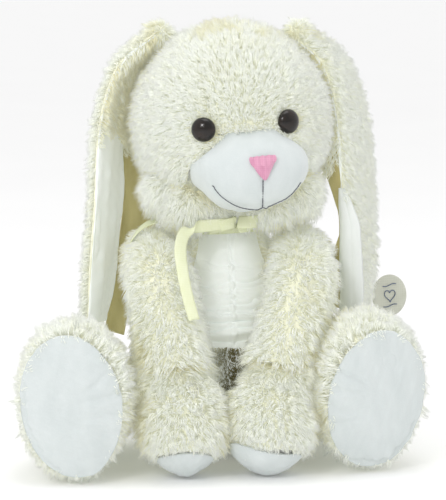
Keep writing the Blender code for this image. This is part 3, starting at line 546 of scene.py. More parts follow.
def grown(roots, normals, flow, length, rng, lean=(10, 55), droop=0.12, clump=9, pull=0.55):
    """Tufts: points, triangles and, for each point, how far along its tuft it is, its tone and its shade.

    Every tuft bends from its root's normal towards the flow by lean degrees, sways, droops, and leans
    towards the middle of its lock of about clump tufts.
    """
    count = len(roots)
    leaders = rng.choice(count, max(count // clump, 1), replace=False)
    tree = KDTree(len(leaders))
    for k, i in enumerate(leaders):
        tree.insert(roots[i], k)
    tree.balance()
    lock = np.array([tree.find(p)[1] for p in roots])
    leader = leaders[lock]

    flow = flow + rng.normal(size=(count, 3))[leader] * 0.30
    flow = unit(flow - normals * (flow * normals).sum(1, keepdims=True))
    side = np.cross(normals, flow)
    end = np.radians(rng.uniform(*lean, (count, 1)))
    first = normals * np.cos(end * 0.35) + flow * np.sin(end * 0.35)
    last = normals * np.cos(end) + flow * np.sin(end)
    size = length * rng.uniform(0.85, 1.1, (count, 1)) * rng.uniform(0.75, 1.2, (count, 1))[leader]
    sway = unit(side * rng.normal(size=(count, 1)) + flow * rng.normal(size=(count, 1)) * 0.6)
    phase, cycles = rng.uniform(0, math.tau, (count, 1)), rng.uniform(0.7, 1.3, (count, 1)) * math.tau
    steps = np.array((*TUFT_STEPS, 1.0))
    lines = np.stack([
        roots - normals * 0.0008 + size * (first * t + (last - first) * t * t * 0.8)
        + sway * TUFT_CURL * (np.sin(cycles * t + phase) - np.sin(phase)) - UP * size * droop * t * t
        for t in steps
    ], axis=1)
    beside = roots - roots[leader]
    aimed = lines[leader] + beside[:, None, :] * 0.3
    share = (pull * steps ** 1.4)[None, :, None] * (np.linalg.norm(beside, axis=1) < LOCK_REACH)[:, None, None]
    lines = lines * (1 - share) + aimed * share
    tone = np.clip(0.55 * rng.random(count)[leader] + 0.45 * rng.random(count), 0, 1)
    # Painted shade: each root's shade is how much of its view out the rabbit's other parts block, later evened out
    # over its lock.
    shade = hidden_share(roots, normals, rng)
    # The crown's straw patches are the fur's own tone, carried in the same value as the painted shade.
    crown = np.clip((roots[:, 2] - CROWN_Z) / 0.015, 0, 1) * np.clip(ripples(roots, 0.030, 77) + 0.2, 0, 1)
    shade = np.maximum(shade, 0.75 * crown)
    of_lock = np.bincount(lock, shade, len(leaders))[lock] / np.bincount(lock, minlength=len(leaders))[lock]
    shade = 0.5 * shade + 0.5 * of_lock

    rings = len(TUFT_STEPS)
    along = np.gradient(lines, axis=1)
    across = unit(np.cross(along, side[:, None, :] + 1e-6))
    other = unit(np.cross(along, across))
    turn = rng.uniform(0, math.tau, (count, 1))
    radius = TUFT_WIDTH / 2 * rng.uniform(0.7, 1.25, (count, 1))
    shape = np.zeros((count, rings * 3 + 1, 3))
    for r, taper in enumerate(TUFT_TAPER):
        for k in range(3):
            angle = turn + math.tau * k / 3
            spoke = across[:, r] * np.cos(angle) + other[:, r] * np.sin(angle)
            shape[:, r * 3 + k] = lines[:, r] + radius * taper * spoke
    shape[:, -1] = lines[:, -1]
    tip = rings * 3
    faces = [(2, 1, 0)] + between_rings(rings, 3) + [(tip - 3 + k, tip - 3 + (k + 1) % 3, tip) for k in range(3)]
    first_face = np.cross(shape[:, 1] - shape[:, 0], shape[:, 2] - shape[:, 0])
    turned_out = np.einsum("ij,ij->i", first_face, along[:, 0]) < 0
    swapped = [r * 3 + k for r in range(rings) for k in (0, 2, 1)] + [tip]
    shape[turned_out] = shape[turned_out][:, swapped]
    shape[:, :, 2] = np.maximum(shape[:, :, 2], FLOOR_CLEARANCE)
    triangles = (np.array(faces)[None] + (np.arange(count) * (tip + 1))[:, None, None]).reshape(-1, 3)
    levels = np.concatenate([np.repeat(TUFT_STEPS, 3), [1.0]])
    return (shape.reshape(-1, 3), triangles, np.tile(levels, count), np.repeat(tone, tip + 1),
            np.repeat(shade, tip + 1))


def fur_mesh(name, skin_points, skin_triangles, tufts):
    """One mesh of a skin and its tufts, with the attributes that its material reads, and a texture map."""
    bare = len(skin_points)
    points, triangles = joined((skin_points, skin_triangles), tufts[:2])
    # The bare skin gets a middling shade value, a painted shade between the tufts.
    along, tone, shade = (np.concatenate([np.full(bare, skin), values])
                          for skin, values in zip((0.2, 0.6, 0.4), tufts[2:]))
    mesh = bpy.data.meshes.new(name)
    mesh.vertices.add(len(points))
    mesh.vertices.foreach_set("co", points.astype(np.float32).ravel())
    mesh.loops.add(triangles.size)
    mesh.loops.foreach_set("vertex_index", triangles.astype(np.int32).ravel())
    mesh.polygons.add(len(triangles))
    mesh.polygons.foreach_set("loop_start", np.arange(0, triangles.size, 3, dtype=np.int32))
    mesh.update(calc_edges=True)
    for key, values in (("along", along), ("tone", tone), ("shade", shade)):
        mesh.attributes.new(key, "FLOAT", "POINT").data.foreach_set("value", values.astype(np.float32))
    # The map has the skin on the left, then a column for each tone and shade, root to tip upwards.
    low, high = points.min(0), points.max(0)
    share = (points - low) / np.maximum(high - low, 1e-6)
    is_skin = np.arange(len(points)) < bare
    column = np.floor(tone * (TONES - 0.01)) + TONES * np.floor(shade * (SHADES - 0.01))
    spin = (np.arange(len(points)) * GOLDEN_SHARE) % 1.0
    u = np.where(is_skin, 0.01 + 0.26 * share[:, 0], 0.30 + 0.69 * (column + 0.15 + 0.7 * spin) / (TONES * SHADES))
    v = np.where(is_skin, 0.01 + 0.98 * share[:, 2], 0.03 + 0.94 * along)
    uv = np.stack([u, v], axis=1)[triangles.ravel()]
    mesh.uv_layers.new(name="OFBake").data.foreach_set("uv", uv.astype(np.float32).ravel())
    return mesh


def facing_away(points, triangles, core_points, least=0.45):
    """The triangles that face away from a piece's core."""
    outward = unit(points[triangles].mean(1) - core_points)
    return triangles[(unit(face_normals(points, triangles)) * outward).sum(1) > least]


def fur_piece(cover, core, flow, seed, length, density=TUFTS_PER_SQUARE_METRE, caps=(), sink=0.5,
              trim=None, blended=None, skin=None, stands_for=None, also=(), facing=0.45, **style):
    """A furry cover: its skin, drawn in towards the core, with tufts on its outer side.

    caps are (centre, radius) balls that close a limb's end, and also holds (points, triangles) of
    other pieces' surfaces where this piece's tufts grow too. trim(roots) tells which tufts to keep
    and how long they are.
    """
    name = cover.replace("_cover", "").replace("_stuffing", "") + "_fur"
    points, triangles = arrays(skin or subdivided(welded(cover), 1))
    outer = triangles
    if core:
        core_tree = tree_of(*core)
        points = points + (nearest(core_tree, points) - points) * sink
        outer = facing_away(points, triangles, nearest(core_tree, points[triangles].mean(1)), facing)
    balls = [ball(*cap) for cap in caps]
    rng = np.random.default_rng(seed)
    found = [scattered(*surface, density, rng) for surface in ((points, outer), *balls, *also)]
    roots, normals = (np.concatenate([f[k] for f in found]) for k in (0, 1))
    points, triangles = joined((points, triangles), *balls)
    kept, scale = trim(roots) if trim else (True, 1.0)
    keep, scale = np.ones(len(roots), bool) & kept, np.ones(len(roots)) * scale
    keep &= rng.random(len(roots)) < MOST_TUFTS / max(keep.sum(), 1)
    roots, normals, scale = roots[keep], normals[keep], scale[keep]
    ways = flow(roots) + rng.normal(size=roots.shape) * 0.2
    tufts = grown(roots, normals, ways, length * scale[:, None], rng, **style)
    points[:, 2] = np.maximum(points[:, 2], FLOOR_CLEARANCE)
    show(name, fur_mesh(name, points, triangles, tufts), FUR, stands_for or (cover,), blended=blended)


SMALL_PARTS = ("ribbon", "bow", "label", "care", "mouth", "nose")
EVERYTHING = tree_of(*(name for name in NODES if not name.startswith(SMALL_PARTS)))


# ---------------------------------------------------------------- where the parts are
def centre_of(name):
    low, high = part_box(name)
    return np.array((low + high) / 2)


def disc_of(name):
    """Centre and axis of a flat ring or disc."""
    points, _ = arrays(NODES[name].data)
    points = np.unique(np.round(points, 6), axis=0)
    centre = points.mean(0)
    axis = np.linalg.svd(points - centre)[2][2]
    return centre, axis


SKULL = centre_of("head_stuffing")
eyes = {}
for label in SIDES:
    middle, axis = disc_of(f"eye_washer_{label}")
    axis = towards(axis, middle - SKULL)
    points, _ = arrays(NODES[f"eye_{label}"].data)
    height = (points - middle) @ axis
    reach = np.linalg.norm(points - middle - height[:, None] * axis, axis=1)
    widest = height[reach > reach.max() * 0.99]
    eyes[label] = {"axis": axis, "radius": reach.max(), "top": height.max(), "base": widest.min(),
                   "middle": middle}

EYE_LINE = unit(eyes["left"]["middle"] - eyes["right"]["middle"])        # the head's own sideways
FORWARD = towards(unit(np.cross(EYE_LINE, UP)), FRONT)
FACE_UP = towards(unit(np.cross(EYE_LINE, FORWARD)), UP)
NOSE = centre_of("nose_patch")


# ---------------------------------------------------------------- head fur
def head_flow(roots):
    """Away from the nose, and down at the sides, at the back and under the cheeks."""
    away_from_nose = unit(roots - (NOSE - FORWARD * 0.02))
    behind = np.clip(((SKULL - roots) @ FORWARD) / 0.09 + 0.35, 0, 1)[:, None]
    sideways = np.clip(np.abs((roots - SKULL) @ EYE_LINE) / 0.09, 0, 1)[:, None]
    low = np.clip((SKULL[2] - 0.03 - roots[:, 2]) / 0.03, 0, 1)[:, None]
    way = away_from_nose * (1.0 - 0.5 * behind) - UP * (0.7 * behind + 0.5 * sideways + 1.4 * low)
    from_muzzle = np.linalg.norm(roots - nearest(MUZZLE_TREE, roots), axis=1)
    over_its_rim = (from_muzzle < 0.009) & (np.arange(len(roots)) % 5 < 3)
    return np.where(over_its_rim[:, None], -0.5 * way, way)


def head_trim(roots):
    """No tufts under the eyes, short ones round them and beside the muzzle, long ones under the cheeks."""
    keep, scale = True, 1.0
    for eye in eyes.values():
        offset = roots - eye["middle"] + EYE_LINE * 0.0035
        off_axis = np.linalg.norm(offset - (offset @ eye["axis"])[:, None] * eye["axis"], axis=1)
        in_front = offset @ eye["axis"] > -0.03
        keep = keep & (~in_front | (off_axis > eye["radius"] * 0.95))
        short = np.clip((off_axis - eye["radius"]) / 0.022 + 0.50, 0.50, 1.0)
        scale = np.minimum(scale, np.where(in_front, short, 1.0))
    from_muzzle = np.linalg.norm(roots - nearest(MUZZLE_TREE, roots), axis=1)
    scale = np.minimum(scale, np.clip(from_muzzle / 0.025 + 0.50, 0.50, 1.0))
    low = np.clip((SKULL[2] - 0.035 - roots[:, 2]) / 0.03, 0, 1)
    top = np.clip((roots[:, 2] - SKULL[2] - 0.06) / 0.03, 0, 1)
    return keep, scale * (1.0 + 0.30 * low + 0.25 * top)


MUZZLE_TREE = tree_of("muzzle_cover")
JOWLS = {
    "head_cheek_right": ((seen(-0.036, 0.047, -0.048), 0.020), (seen(-0.054, 0.060, -0.040), 0.019),
                         (seen(-0.014, 0.046, -0.046), 0.014)),
    "head_cheek_left": ((seen(0.073, 0.057, -0.042), 0.018), (seen(0.050, 0.045, -0.048), 0.015),
                        (seen(0.026, 0.044, -0.046), 0.012)),
}
HEAD_COVERS = ("head_gusset", "head_side_right", "head_side_left", "head_cheek_right", "head_cheek_left")
for index, cover in enumerate(HEAD_COVERS):
    fur_piece(cover, ("head_stuffing",), head_flow, 11 + index, 0.0135, density=900000, trim=head_trim,
              caps=JOWLS.get(cover, ()))


# ---------------------------------------------------------------- ears
def whole_ear(label, layer):
    """The upper and lower halves of one of an ear's layers, joined at the bend."""
    halves = (f"ear_{label}_upper_{layer}", f"ear_{label}_lower_{layer}")
    bm = welded(*halves)
    bend = np.array(JOINTS[f"ear_{label}_bend"]["pos_m"])
    near = [f for f in bm.faces if abs(f.calc_center_median().z - bend[2]) < 0.006 and abs(f.normal.z) > 0.75]
    bmesh.ops.delete(bm, geom=near, context="FACES_ONLY")
    bmesh.ops.bridge_loops(bm, edges=[e for e in bm.edges if e.is_boundary])
    bmesh.ops.recalc_face_normals(bm, faces=bm.faces)
    return halves, bm


def thick_strip(edge, across, width, thickness, columns=9, back=0.0):
    """Points and triangles of a closed sheet that leaves a line sideways and curls back."""
    edge = np.asarray(edge)
    along = unit(np.gradient(edge, axis=0))
    outward = unit(across - along * (across * along).sum(1, keepdims=True))
    normal = np.cross(along, outward)
    shares = np.linspace(0, 1, columns)
    turn = back * shares
    reach = np.cumsum(np.cos(turn)) / columns
    drop = np.cumsum(np.sin(turn)) / columns
    sheet = (edge[:, None] + outward[:, None] * (width[:, None] * reach)[..., None]
             + normal[:, None] * (width[:, None] * drop)[..., None])
    layers = [sheet + normal[:, None] * thickness / 2, sheet - normal[:, None] * thickness / 2]
    count = len(edge)
    points = np.concatenate([layer.reshape(-1, 3) for layer in layers])
    size = count * columns
    quads = []
    for i in range(count - 1):
        for k in range(columns - 1):
            a = i * columns + k
            quads += [(a, a + 1, a + columns + 1, a + columns),
                      (size + a + columns, size + a + columns + 1, size + a + 1, size + a)]
    rims = [(i * columns + k, columns) for i in range(count - 1) for k in (0, columns - 1)]
    rims += [(i * columns + k, 1) for i in (0, count - 1) for k in range(columns - 1)]
    quads += [(a, a + step, size + a + step, size + a) for a, step in rims]
    return points, [(a, *pair) for a, b, c, d in quads for pair in ((b, c), (c, d))]


def inner_edge(points, sign, low, high, steps):
    """The ear's edge nearest to the head, level by level."""
    line = []
    for z in np.linspace(high, low, steps):
        level = points[np.abs(points[:, 2] - z) < 0.006]
        line.append(level[np.argmin(level[:, 0] * sign)] * (1, 1, 0) + UP * z)
    line = np.array(line)
    for _ in range(4):
        line[1:-1] = (line[:-2] + line[1:-1] * 2 + line[2:]) / 4
    return line


# How far each ear's inner edge is folded back towards the head, by height.
FOLD_LEVELS = (0.335, 0.290, 0.262, 0.238, 0.215, 0.185, 0.140)
FOLD_WIDTHS = {"right": (0.016, 0.018, 0.028, 0.046, 0.048, 0.036, 0.024),
               "left": (0.018, 0.020, 0.012, 0.004, 0.004, 0.014, 0.020)}
# The left ear's lining also rolls forward over its edge, in a hem.
HEM_LEVELS = (0.262, 0.250, 0.225, 0.190, 0.140)
HEM_WIDTHS = (0.004, 0.013, 0.024, 0.029, 0.029)

for label, sign in SIDES.items():
    root = np.array(JOINTS[f"ear_{label}_swing"]["pos_m"])
    bend = Vector(JOINTS[f"ear_{label}_bend"]["pos_m"])
    ear_top, ear_tip = Vector(centre_of(f"ear_{label}_upper_fur")), Vector(centre_of(f"ear_{label}_lower_fur"))
    down = (ear_tip - ear_top).normalized()
    span = (f"ear_{label}_upper", f"ear_{label}_lower", bend - down * 0.022, bend + down * 0.022)
    ear_down = np.array(down)

    halves, bm = whole_ear(label, "lining")
    lining = moved(subdivided(bm, 3, crease=0.4),
                   lambda p: 0.0016 * ripples(p * np.array((1, 1, 0.4)), 0.026, 41) + 0.0004 * ripples(p, 0.011, 42))
    lining_points, lining_triangles = arrays(lining)
    edge = inner_edge(lining_points, sign, FOLD_LEVELS[-1], FOLD_LEVELS[0], 40)
    if label == "right":
        edge = np.concatenate([edge, edge[-1] + (edge[-1] - edge[-6]) * np.linspace(0.15, 0.90, 6)[:, None]])
    levels = edge[:, 2]
    fold_width = np.interp(-levels, [-z for z in FOLD_LEVELS], FOLD_WIDTHS[label])
    fold = thick_strip(edge + np.array((sign * 0.005, 0.001, 0)), np.array((-sign * 0.90, 0.42, 0.0)),
                       fold_width + 0.004, 0.0022, back=0.35 * sign)
    show(f"ear_{label}_lining", lining, LIT_LINING_PLUSH, halves, blended=span)
    fold_mesh = mesh_of(f"ear_{label}_fold", fold)
    show(f"ear_{label}_fold", fold_mesh, SHADED_FOLD_PLUSH, (), blended=span, slot="smooth_plush")
    # Below 0.30 m the fold's forward-facing side takes the ochre plush, painted shade; the rest takes the paler hem
    # plush.
    fold_mesh.materials.append(HEM_PLUSH)
    for face in fold_mesh.polygons:
        face.material_index = int(face.normal.y > -0.2 if face.center.z < 0.30 else True)
    fold_points, fold_triangles = arrays(fold_mesh)
    fold_faces = fold_points[fold_triangles].mean(1)
    fold_top = fold_triangles[fold_faces[:, 2] > 0.282 + 0.008 * ripples(fold_faces, 0.03, 48)]

    def ear_trim(roots):
        """No tufts where the left ear's lining is rolled over its inner edge."""
        inner = np.interp(-roots[:, 2], -levels, edge[:, 0])
        rolled = (roots[:, 2] < 0.252) & ((roots[:, 0] - inner) * sign < 0.011) & (sign > 0)
        return ~rolled, 1.0

    if label == "left":
        hem_edge = inner_edge(lining_points, sign, HEM_LEVELS[-1], HEM_LEVELS[0], 30)
        hem_width = np.interp(-hem_edge[:, 2], [-z for z in HEM_LEVELS], HEM_WIDTHS)
        hem_points, hem_triangles = thick_strip(hem_edge, np.array((-0.15, -1.0, 0.0)), hem_width, 0.0040,
                                                back=-2.4)
        hem_bumps = 0.0008 * ripples(hem_points * np.array((1, 1, 0.5)), 0.02, 45)
        hem = mesh_of("ear_left_hem", (hem_points + hem_bumps[:, None] * FRONT, hem_triangles))
        show("ear_left_hem", hem, HEM_PLUSH, (), blended=span, slot="smooth_plush")

    centres = lining_points[lining_triangles].mean(1)
    top = centres[:, 2] > 0.316 + 0.010 * ripples(centres, 0.024, 47)
    top_behind = facing_away(lining_points, lining_triangles[top],
                             nearest(tree_of(f"ear_{label}_upper_fur"), centres[top]), 0.3)

    def ear_flow(roots):
        return ear_down + np.array((sign * 0.35, 0.0, 0.0))

    linings = halves
    halves, bm = whole_ear(label, "fur")
    fur_piece(f"ear_{label}", linings, ear_flow, 31 + sign, 0.0125, sink=0.35, skin=subdivided(bm, 1),
              stands_for=halves, blended=span, lean=(12, 60), droop=0.05, caps=((root, 0.011),),
              also=((lining_points, top_behind), (fold_points, fold_top)), facing=0.0, trim=ear_trim)


# ---------------------------------------------------------------- torso, arms, legs and tail
def down_and_out(middle, out=0.4, down=1.0):
    def flow(roots):
        aside = roots - np.array(middle)
        aside[:, 2] = 0
        return unit(aside) * out - UP * down
    return flow


def soft_edge(seed, size=0.0006, wavelength=0.022):
    return lambda points: size * ripples(points, wavelength, seed) + size * 0.4 * ripples(points, 0.009, seed + 1)


def spun(offsets, axis, angles):
    """Offsets turned about an axis, each by its own angle."""
    along = (offsets @ axis)[:, None] * axis
    return along + (offsets - along) * np.cos(angles)[:, None] + np.cross(axis, offsets) * np.sin(angles)[:, None]


def inward_of(ahead, sign):
    """The level direction across a foot, towards the other foot."""
    return towards(unit(np.cross(UP, ahead)), np.array((-sign, 0.0, 0.0)))


def spread_pad(mesh, paw):
    """Stretches a paw's pad round the paw, towards the rabbit's right."""
    points, _ = arrays(mesh)
    offset = points - paw
    share = np.clip(0.5 - (points[:, 0] - points[:, 0].mean()) / 0.045, 0, 1)
    turned_points = spun(offset, VIEW_AWAY, -math.radians(26.0) * share)
    set_points(mesh, paw + turned_points * (1 + 0.045 * share)[:, None])


TORSO_CORE = ("body_stuffing", "pellet_bag")
TORSO_MIDDLE = centre_of("body_stuffing")
for index, cover in enumerate(("back_panel_right", "back_panel_left")):
    fur_piece(cover, TORSO_CORE, down_and_out(TORSO_MIDDLE), 51 + index, 0.0135, facing=0.15)
fur_piece("seat_panel", (), down_and_out(TORSO_MIDDLE, 1.0, 0.0), 53, 0.004, density=20000)
fur_piece("neck_stuffing", (), down_and_out(TORSO_MIDDLE, 1.0, 0.5), 54, 0.014)

for label, sign in SIDES.items():
    shoulder = np.array(JOINTS[f"arm_{label}_raise"]["pos_m"])
    paw = centre_of(f"paw_{label}_cover")
    pad = centre_of(f"paw_{label}_pad")
    sleeve_points, _ = arrays(NODES[f"arm_{label}_sleeve"].data)
    cuff = sleeve_points[sleeve_points[:, 2] < sleeve_points[:, 2].min() + 0.012].mean(0)
    wrist = cuff + (paw - cuff) * 0.30
    hand_way = unit(paw - centre_of(f"arm_{label}_sleeve"))

    def arm_flow(roots):
        return hand_way + np.array((sign * 0.2, 0, -0.3))

    def paw_flow(roots):
        return unit(pad - paw) * 0.9 + unit(roots - paw) * 0.4

    def cuff_trim(roots):
        """Longer fur near the cuff, which hangs over the wrist."""
        near = np.clip(1 - np.linalg.norm(roots - cuff, axis=1) / 0.055, 0, 1)
        return True, 1.0 + 0.55 * near

    pad_mesh = moved(subdivided(welded(f"paw_{label}_pad"), 3), soft_edge(104 + sign))
    if label == "left":
        spread_pad(pad_mesh, paw)
    show(f"paw_{label}_pad_plush", pad_mesh, PLUSH, (f"paw_{label}_pad",))
    pad_tree = search_tree(*arrays(pad_mesh))

    def paw_trim(roots):
        """No fur on the pad, and short fur round it."""
        from_pad = np.linalg.norm(roots - nearest(pad_tree, roots), axis=1)
        return from_pad > 0.0022, np.clip(from_pad / 0.022 + 0.30, 0.30, 1.0)

    fur_piece(f"arm_{label}_sleeve", (f"arm_{label}_stuffing",), arm_flow, 61 + sign, 0.0155, trim=cuff_trim,
              caps=((shoulder, 0.0225), (cuff, 0.0290), (wrist, 0.0320)), lean=(10, 50), pull=0.65, clump=11)
    fur_piece(f"paw_{label}_cover", (f"paw_{label}_stuffing",), paw_flow, 64 + sign, 0.0150, trim=paw_trim,
              lean=(12, 50), pull=0.65, clump=11)

    hip = np.array(JOINTS[f"leg_{label}_spread"]["pos_m"])
    foot, sole = centre_of(f"foot_{label}_cover"), centre_of(f"foot_{label}_sole")
    ahead = unit(sole - foot)

    def foot_flow(roots):
        offset = roots - foot
        aside = offset - (offset @ ahead)[:, None] * ahead
        front = np.clip((offset @ ahead) / 0.03, -1, 1)[:, None]
        return unit(aside) * 0.9 + ahead * (0.35 * front - 0.2)

    def foot_trim(roots):
        """Short fur below and outside the sole, with a few long hairs."""
        offset = (roots - sole) / 0.06
        full = np.clip(0.45 + 0.75 * offset @ UP + 0.55 * offset @ inward_of(ahead, sign), 0, 1)
        long_hair = np.random.default_rng(77).random(len(roots)) < 0.10
        return True, np.maximum(0.45 + 0.60 * full, long_hair)

    def leg_flow(roots):
        return unit(foot - hip) - UP * 0.5

    fur_piece(f"foot_{label}_cover", (f"foot_{label}_stuffing",), foot_flow, 71 + sign, 0.0165, trim=foot_trim,
              lean=(3, 45), clump=13, pull=0.72, facing=0.1)
    leg_points, _ = arrays(NODES[f"leg_{label}_cover"].data)
    along_leg = (leg_points - hip) @ unit(foot - hip)
    leg_end = leg_points[along_leg > along_leg.max() - 0.010]
    ankle = leg_end.mean(0)
    ankle_radius = np.linalg.norm(leg_end - ankle, axis=1).mean()
    fur_piece(f"leg_{label}_cover", (f"leg_{label}_stuffing",), leg_flow, 74 + sign, 0.0135,
              caps=((hip, 0.0325), (ankle, ankle_radius)), facing=0.15)

fur_piece("tail_cover", ("tail_stuffing",), down_and_out(centre_of("tail_cover"), 0.8, 0.5), 81, 0.0150)

# ---------------------------------------------------------------- smooth panels
SEAM_X = (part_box("belly_panel_left")[0].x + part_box("belly_panel_right")[1].x) / 2
CROTCH_Z = 0.112
# Each fold across the belly: its height, slope, depth, width, and how far it runs to the sides.
BELLY_FOLDS = (
    (0.186, -0.06, 0.0008, 0.0035, 0.05), (0.170, 0.10, 0.0013, 0.0036, 0.06), (0.159, -0.12, 0.0010, 0.0030, 0.05),
    (0.148, 0.14, 0.0020, 0.0038, 0.04), (0.1385, -0.05, 0.0030, 0.0034, 0.07), (0.124, 0.06, 0.0034, 0.0048, 0.07),
)
# Each crease in a sole: its height at the inner edge, slope and depth.
SOLE_CREASES = ((0.30, 0.30, 0.0016), (0.08, 0.10, 0.0020), (-0.14, -0.05, 0.0018), (-0.36, -0.25, 0.0013))


def whole_belly():
    """The two belly panels as one cloth, joined along the middle seam."""
    bm = welded("belly_panel_left", "belly_panel_right")
    for vertex in bm.verts:
        if abs(vertex.co.x - SEAM_X) < 0.0015:
            vertex.co.x = SEAM_X
    bmesh.ops.remove_doubles(bm, verts=bm.verts, dist=0.0002)
    inside = [f for f in bm.faces if all(abs(v.co.x - SEAM_X) < 0.00001 for v in f.verts)]
    bmesh.ops.delete(bm, geom=inside, context="FACES_ONLY")
    return bm


def belly_creases(points):
    """The middle seam draws the cloth in, and the bent body folds it across."""
    across, height = points[:, 0] - SEAM_X, points[:, 2]
    total = -0.0018 * np.exp(-(across / 0.0020) ** 2) + 0.0004 * np.exp(-((np.abs(across) - 0.0035) / 0.0015) ** 2)
    total += 0.0004 * np.sin(height * math.tau / 0.0070) * np.exp(-(across / 0.009) ** 2)
    for level, slope, depth, width, reach in BELLY_FOLDS:
        wander = height - level - slope * across - 0.0015 * ripples(points, 0.03, int(level * 1000))
        fade = np.exp(-(across / reach) ** 2)
        total -= fade * 2.8 * depth * np.exp(-(wander / width) ** 2)
        total += fade * depth * 1.2 * np.exp(-((wander - width * 1.9) / width) ** 2)
    return total + 0.0006 * ripples(points, 0.04, 91)


belly = moved(subdivided(whole_belly(), 4), belly_creases)
belly_points, belly_triangles = arrays(belly)
show("belly_plush", belly, LIT_BELLY_PLUSH, ("belly_panel_left", "belly_panel_right"))
# Short dark fur low on the belly between the legs: painted shade, strongest along the middle seam and fading out near
# the floor.
low_belly = belly_triangles[belly_points[belly_triangles][:, :, 2].mean(1) < CROTCH_Z]
low_belly = facing_away(belly_points, low_belly, nearest(tree_of(*TORSO_CORE), belly_points[low_belly].mean(1)))
rng = np.random.default_rng(55)
crotch = grown(*scattered(belly_points, low_belly, 500000, rng), -UP, 0.0065, rng)
crotch_x, _, crotch_z = crotch[0].T
crotch_shade = np.exp(-((crotch_x - SEAM_X) / 0.024) ** 2) * np.clip((crotch_z - 0.035) / 0.02, 0, 1)
crotch_mesh = fur_mesh("crotch_fur", np.zeros((0, 3)), np.zeros((0, 3), int), (*crotch[:4], crotch_shade))
show("crotch_fur", crotch_mesh, PAINTED_SHADE_FUR, (), body="torso", slot="fur")


def sole_shape(label, sign):
    """The sole's cushion, with creases that fan in from its inner edge and a slight tilt."""
    sole = moved(subdivided(welded(f"foot_{label}_sole"), 4), soft_edge(101 + sign, 0.0008, 0.035))
    points, _ = arrays(sole)
    middle = (points.min(0) + points.max(0)) / 2
    ahead = unit(centre_of(f"foot_{label}_sole") - centre_of(f"foot_{label}_stuffing"))
    inward = inward_of(ahead, sign)
    upward = towards(np.cross(ahead, inward), UP)
    offset = points - middle
    inner, high = offset @ inward / 0.05, offset @ upward / 0.07
    round_out = np.clip(1 - inner ** 2 - high ** 2, 0, 1)
    rise = 0.0050 * round_out ** 0.8
    for at, slope, depth in SOLE_CREASES:
        line = high - at - slope * (inner - 0.6) + 0.03 * ripples(points, 0.03, int(100 + 100 * at))
        rise -= depth * np.exp(-(line / 0.045) ** 2) * np.clip((inner - 0.05) / 0.5, 0, 1) * (round_out > 0)
    rise -= 0.0012 * np.exp(-((inner + 0.15 + 0.2 * high) / 0.10) ** 2) * np.clip(high + 0.2, 0, 1) * round_out
    front = offset @ ahead > -0.0005
    offset = points + ahead * (rise * front)[:, None] - middle
    return set_points(sole, middle + spun(offset, ahead, np.full(len(points), math.radians(7.0) * -sign)))


for label, sign in SIDES.items():
    show(f"foot_{label}_sole_plush", sole_shape(label, sign), PLUSH, (f"foot_{label}_sole",))

# The mouth: a smile of two arcs and a short line from the nose, as someone facing it sees them.
SMILE = ((-0.0475, -0.0160), (-0.038, -0.0265), (-0.025, -0.0345), (-0.010, -0.0380), (0.005, -0.0372),
         (0.018, -0.0320), (0.029, -0.0240), (0.037, -0.0145))
SMILE_ACROSS, SMILE_UP = np.array(SMILE).T


def mouth_dents(points):
    """The stitches draw the muzzle in along the smile and below the nose."""
    across, up = (points - NOSE) @ VIEW_ACROSS, (points - NOSE) @ VIEW_UP
    front = np.clip(((points - SKULL) @ FORWARD) / 0.06, 0, 1)
    curve = np.interp(across, SMILE_ACROSS, SMILE_UP)
    inside = (across > SMILE_ACROSS[0] - 0.003) & (across < SMILE_ACROSS[-1] + 0.003)
    dent = -0.0009 * np.exp(-((up - curve) / 0.0028) ** 2) * inside
    middle = -0.0010 * np.exp(-(across / 0.0026) ** 2) * (up < 0) * (up > SMILE_UP.min() - 0.002)
    return (dent + middle) * front + 0.0005 * ripples(points, 0.03, 111)


muzzle = moved(subdivided(welded("muzzle_cover"), 3, crease=0.0), mouth_dents)
points, _ = arrays(muzzle)
middle = (points.min(0) + points.max(0)) / 2
height = (points - middle) @ VIEW_UP
points += ((points - middle) @ VIEW_ACROSS)[:, None] * VIEW_ACROSS * 0.03
points += (height * np.where(height < 0, 0.16, 0.02))[:, None] * VIEW_UP
corner = np.exp(-(((points - middle) @ VIEW_ACROSS + 0.060) / 0.022) ** 2) * np.clip(0.4 - height / 0.02, 0, 1)
points += 0.0080 * corner[:, None] * VIEW_ACROSS
from_middle = np.hypot((points - middle) @ EYE_LINE / 0.060, (points - middle) @ FACE_UP / 0.040)
points -= 0.0030 * np.clip((from_middle - 0.75) / 0.25, 0, 1)[:, None] * unit(points - SKULL)
muzzle.vertices.foreach_set("co", points.ravel())
show("muzzle_plush", muzzle, PLUSH, ("muzzle_cover",))
muzzle_surface = search_tree(*arrays(muzzle))


def on_muzzle(across, up, lift):
    """The point of the muzzle straight ahead of a place on the face."""
    for rise in np.arange(0, 0.012, 0.0004):
        start = NOSE + VIEW_ACROSS * across * (1 - rise * 6) + VIEW_UP * (up + rise) + VIEW_AWAY * 0.05
        found, normal, _, _ = muzzle_surface.ray_cast(Vector(start), Vector(-VIEW_AWAY))
        if found is not None and normal.dot(Vector(VIEW_AWAY)) > 0.15:
            break
    return np.array(found) + np.array(normal) * lift


def reach_along(line):
    """How far along a line each of its points lies."""
    return np.concatenate([[0], np.cumsum(np.linalg.norm(np.diff(line, axis=0), axis=1))])


def stitches(line, stitch, radius):
    """Short overlapping stitches along a line of points."""
    line = np.asarray(line)
    reach = reach_along(line)
    parts = []
    for at in np.arange(0, reach[-1] - stitch * 0.3, stitch * 0.82):
        where = np.linspace(at, min(at + stitch, reach[-1]), 6)
        points = np.stack([np.interp(where, reach, line[:, k]) for k in range(3)], axis=1)
        share = np.linspace(0, 1, 6)
        parts.append(tube(points + FORWARD * (0.0005 * np.sin(share * math.pi))[:, None],
                          radius * (0.55 + 0.45 * np.sin(share * math.pi))))
    return parts


def spread(points, steps):
    """Points at even steps along a smooth line through some points."""
    line = smooth_line([(*p, 0.0) for p in points], 200)
    reach = reach_along(line)
    return [[np.interp(r, reach, line[:, k]) for k in (0, 1)] for r in np.linspace(0, reach[-1], steps)]


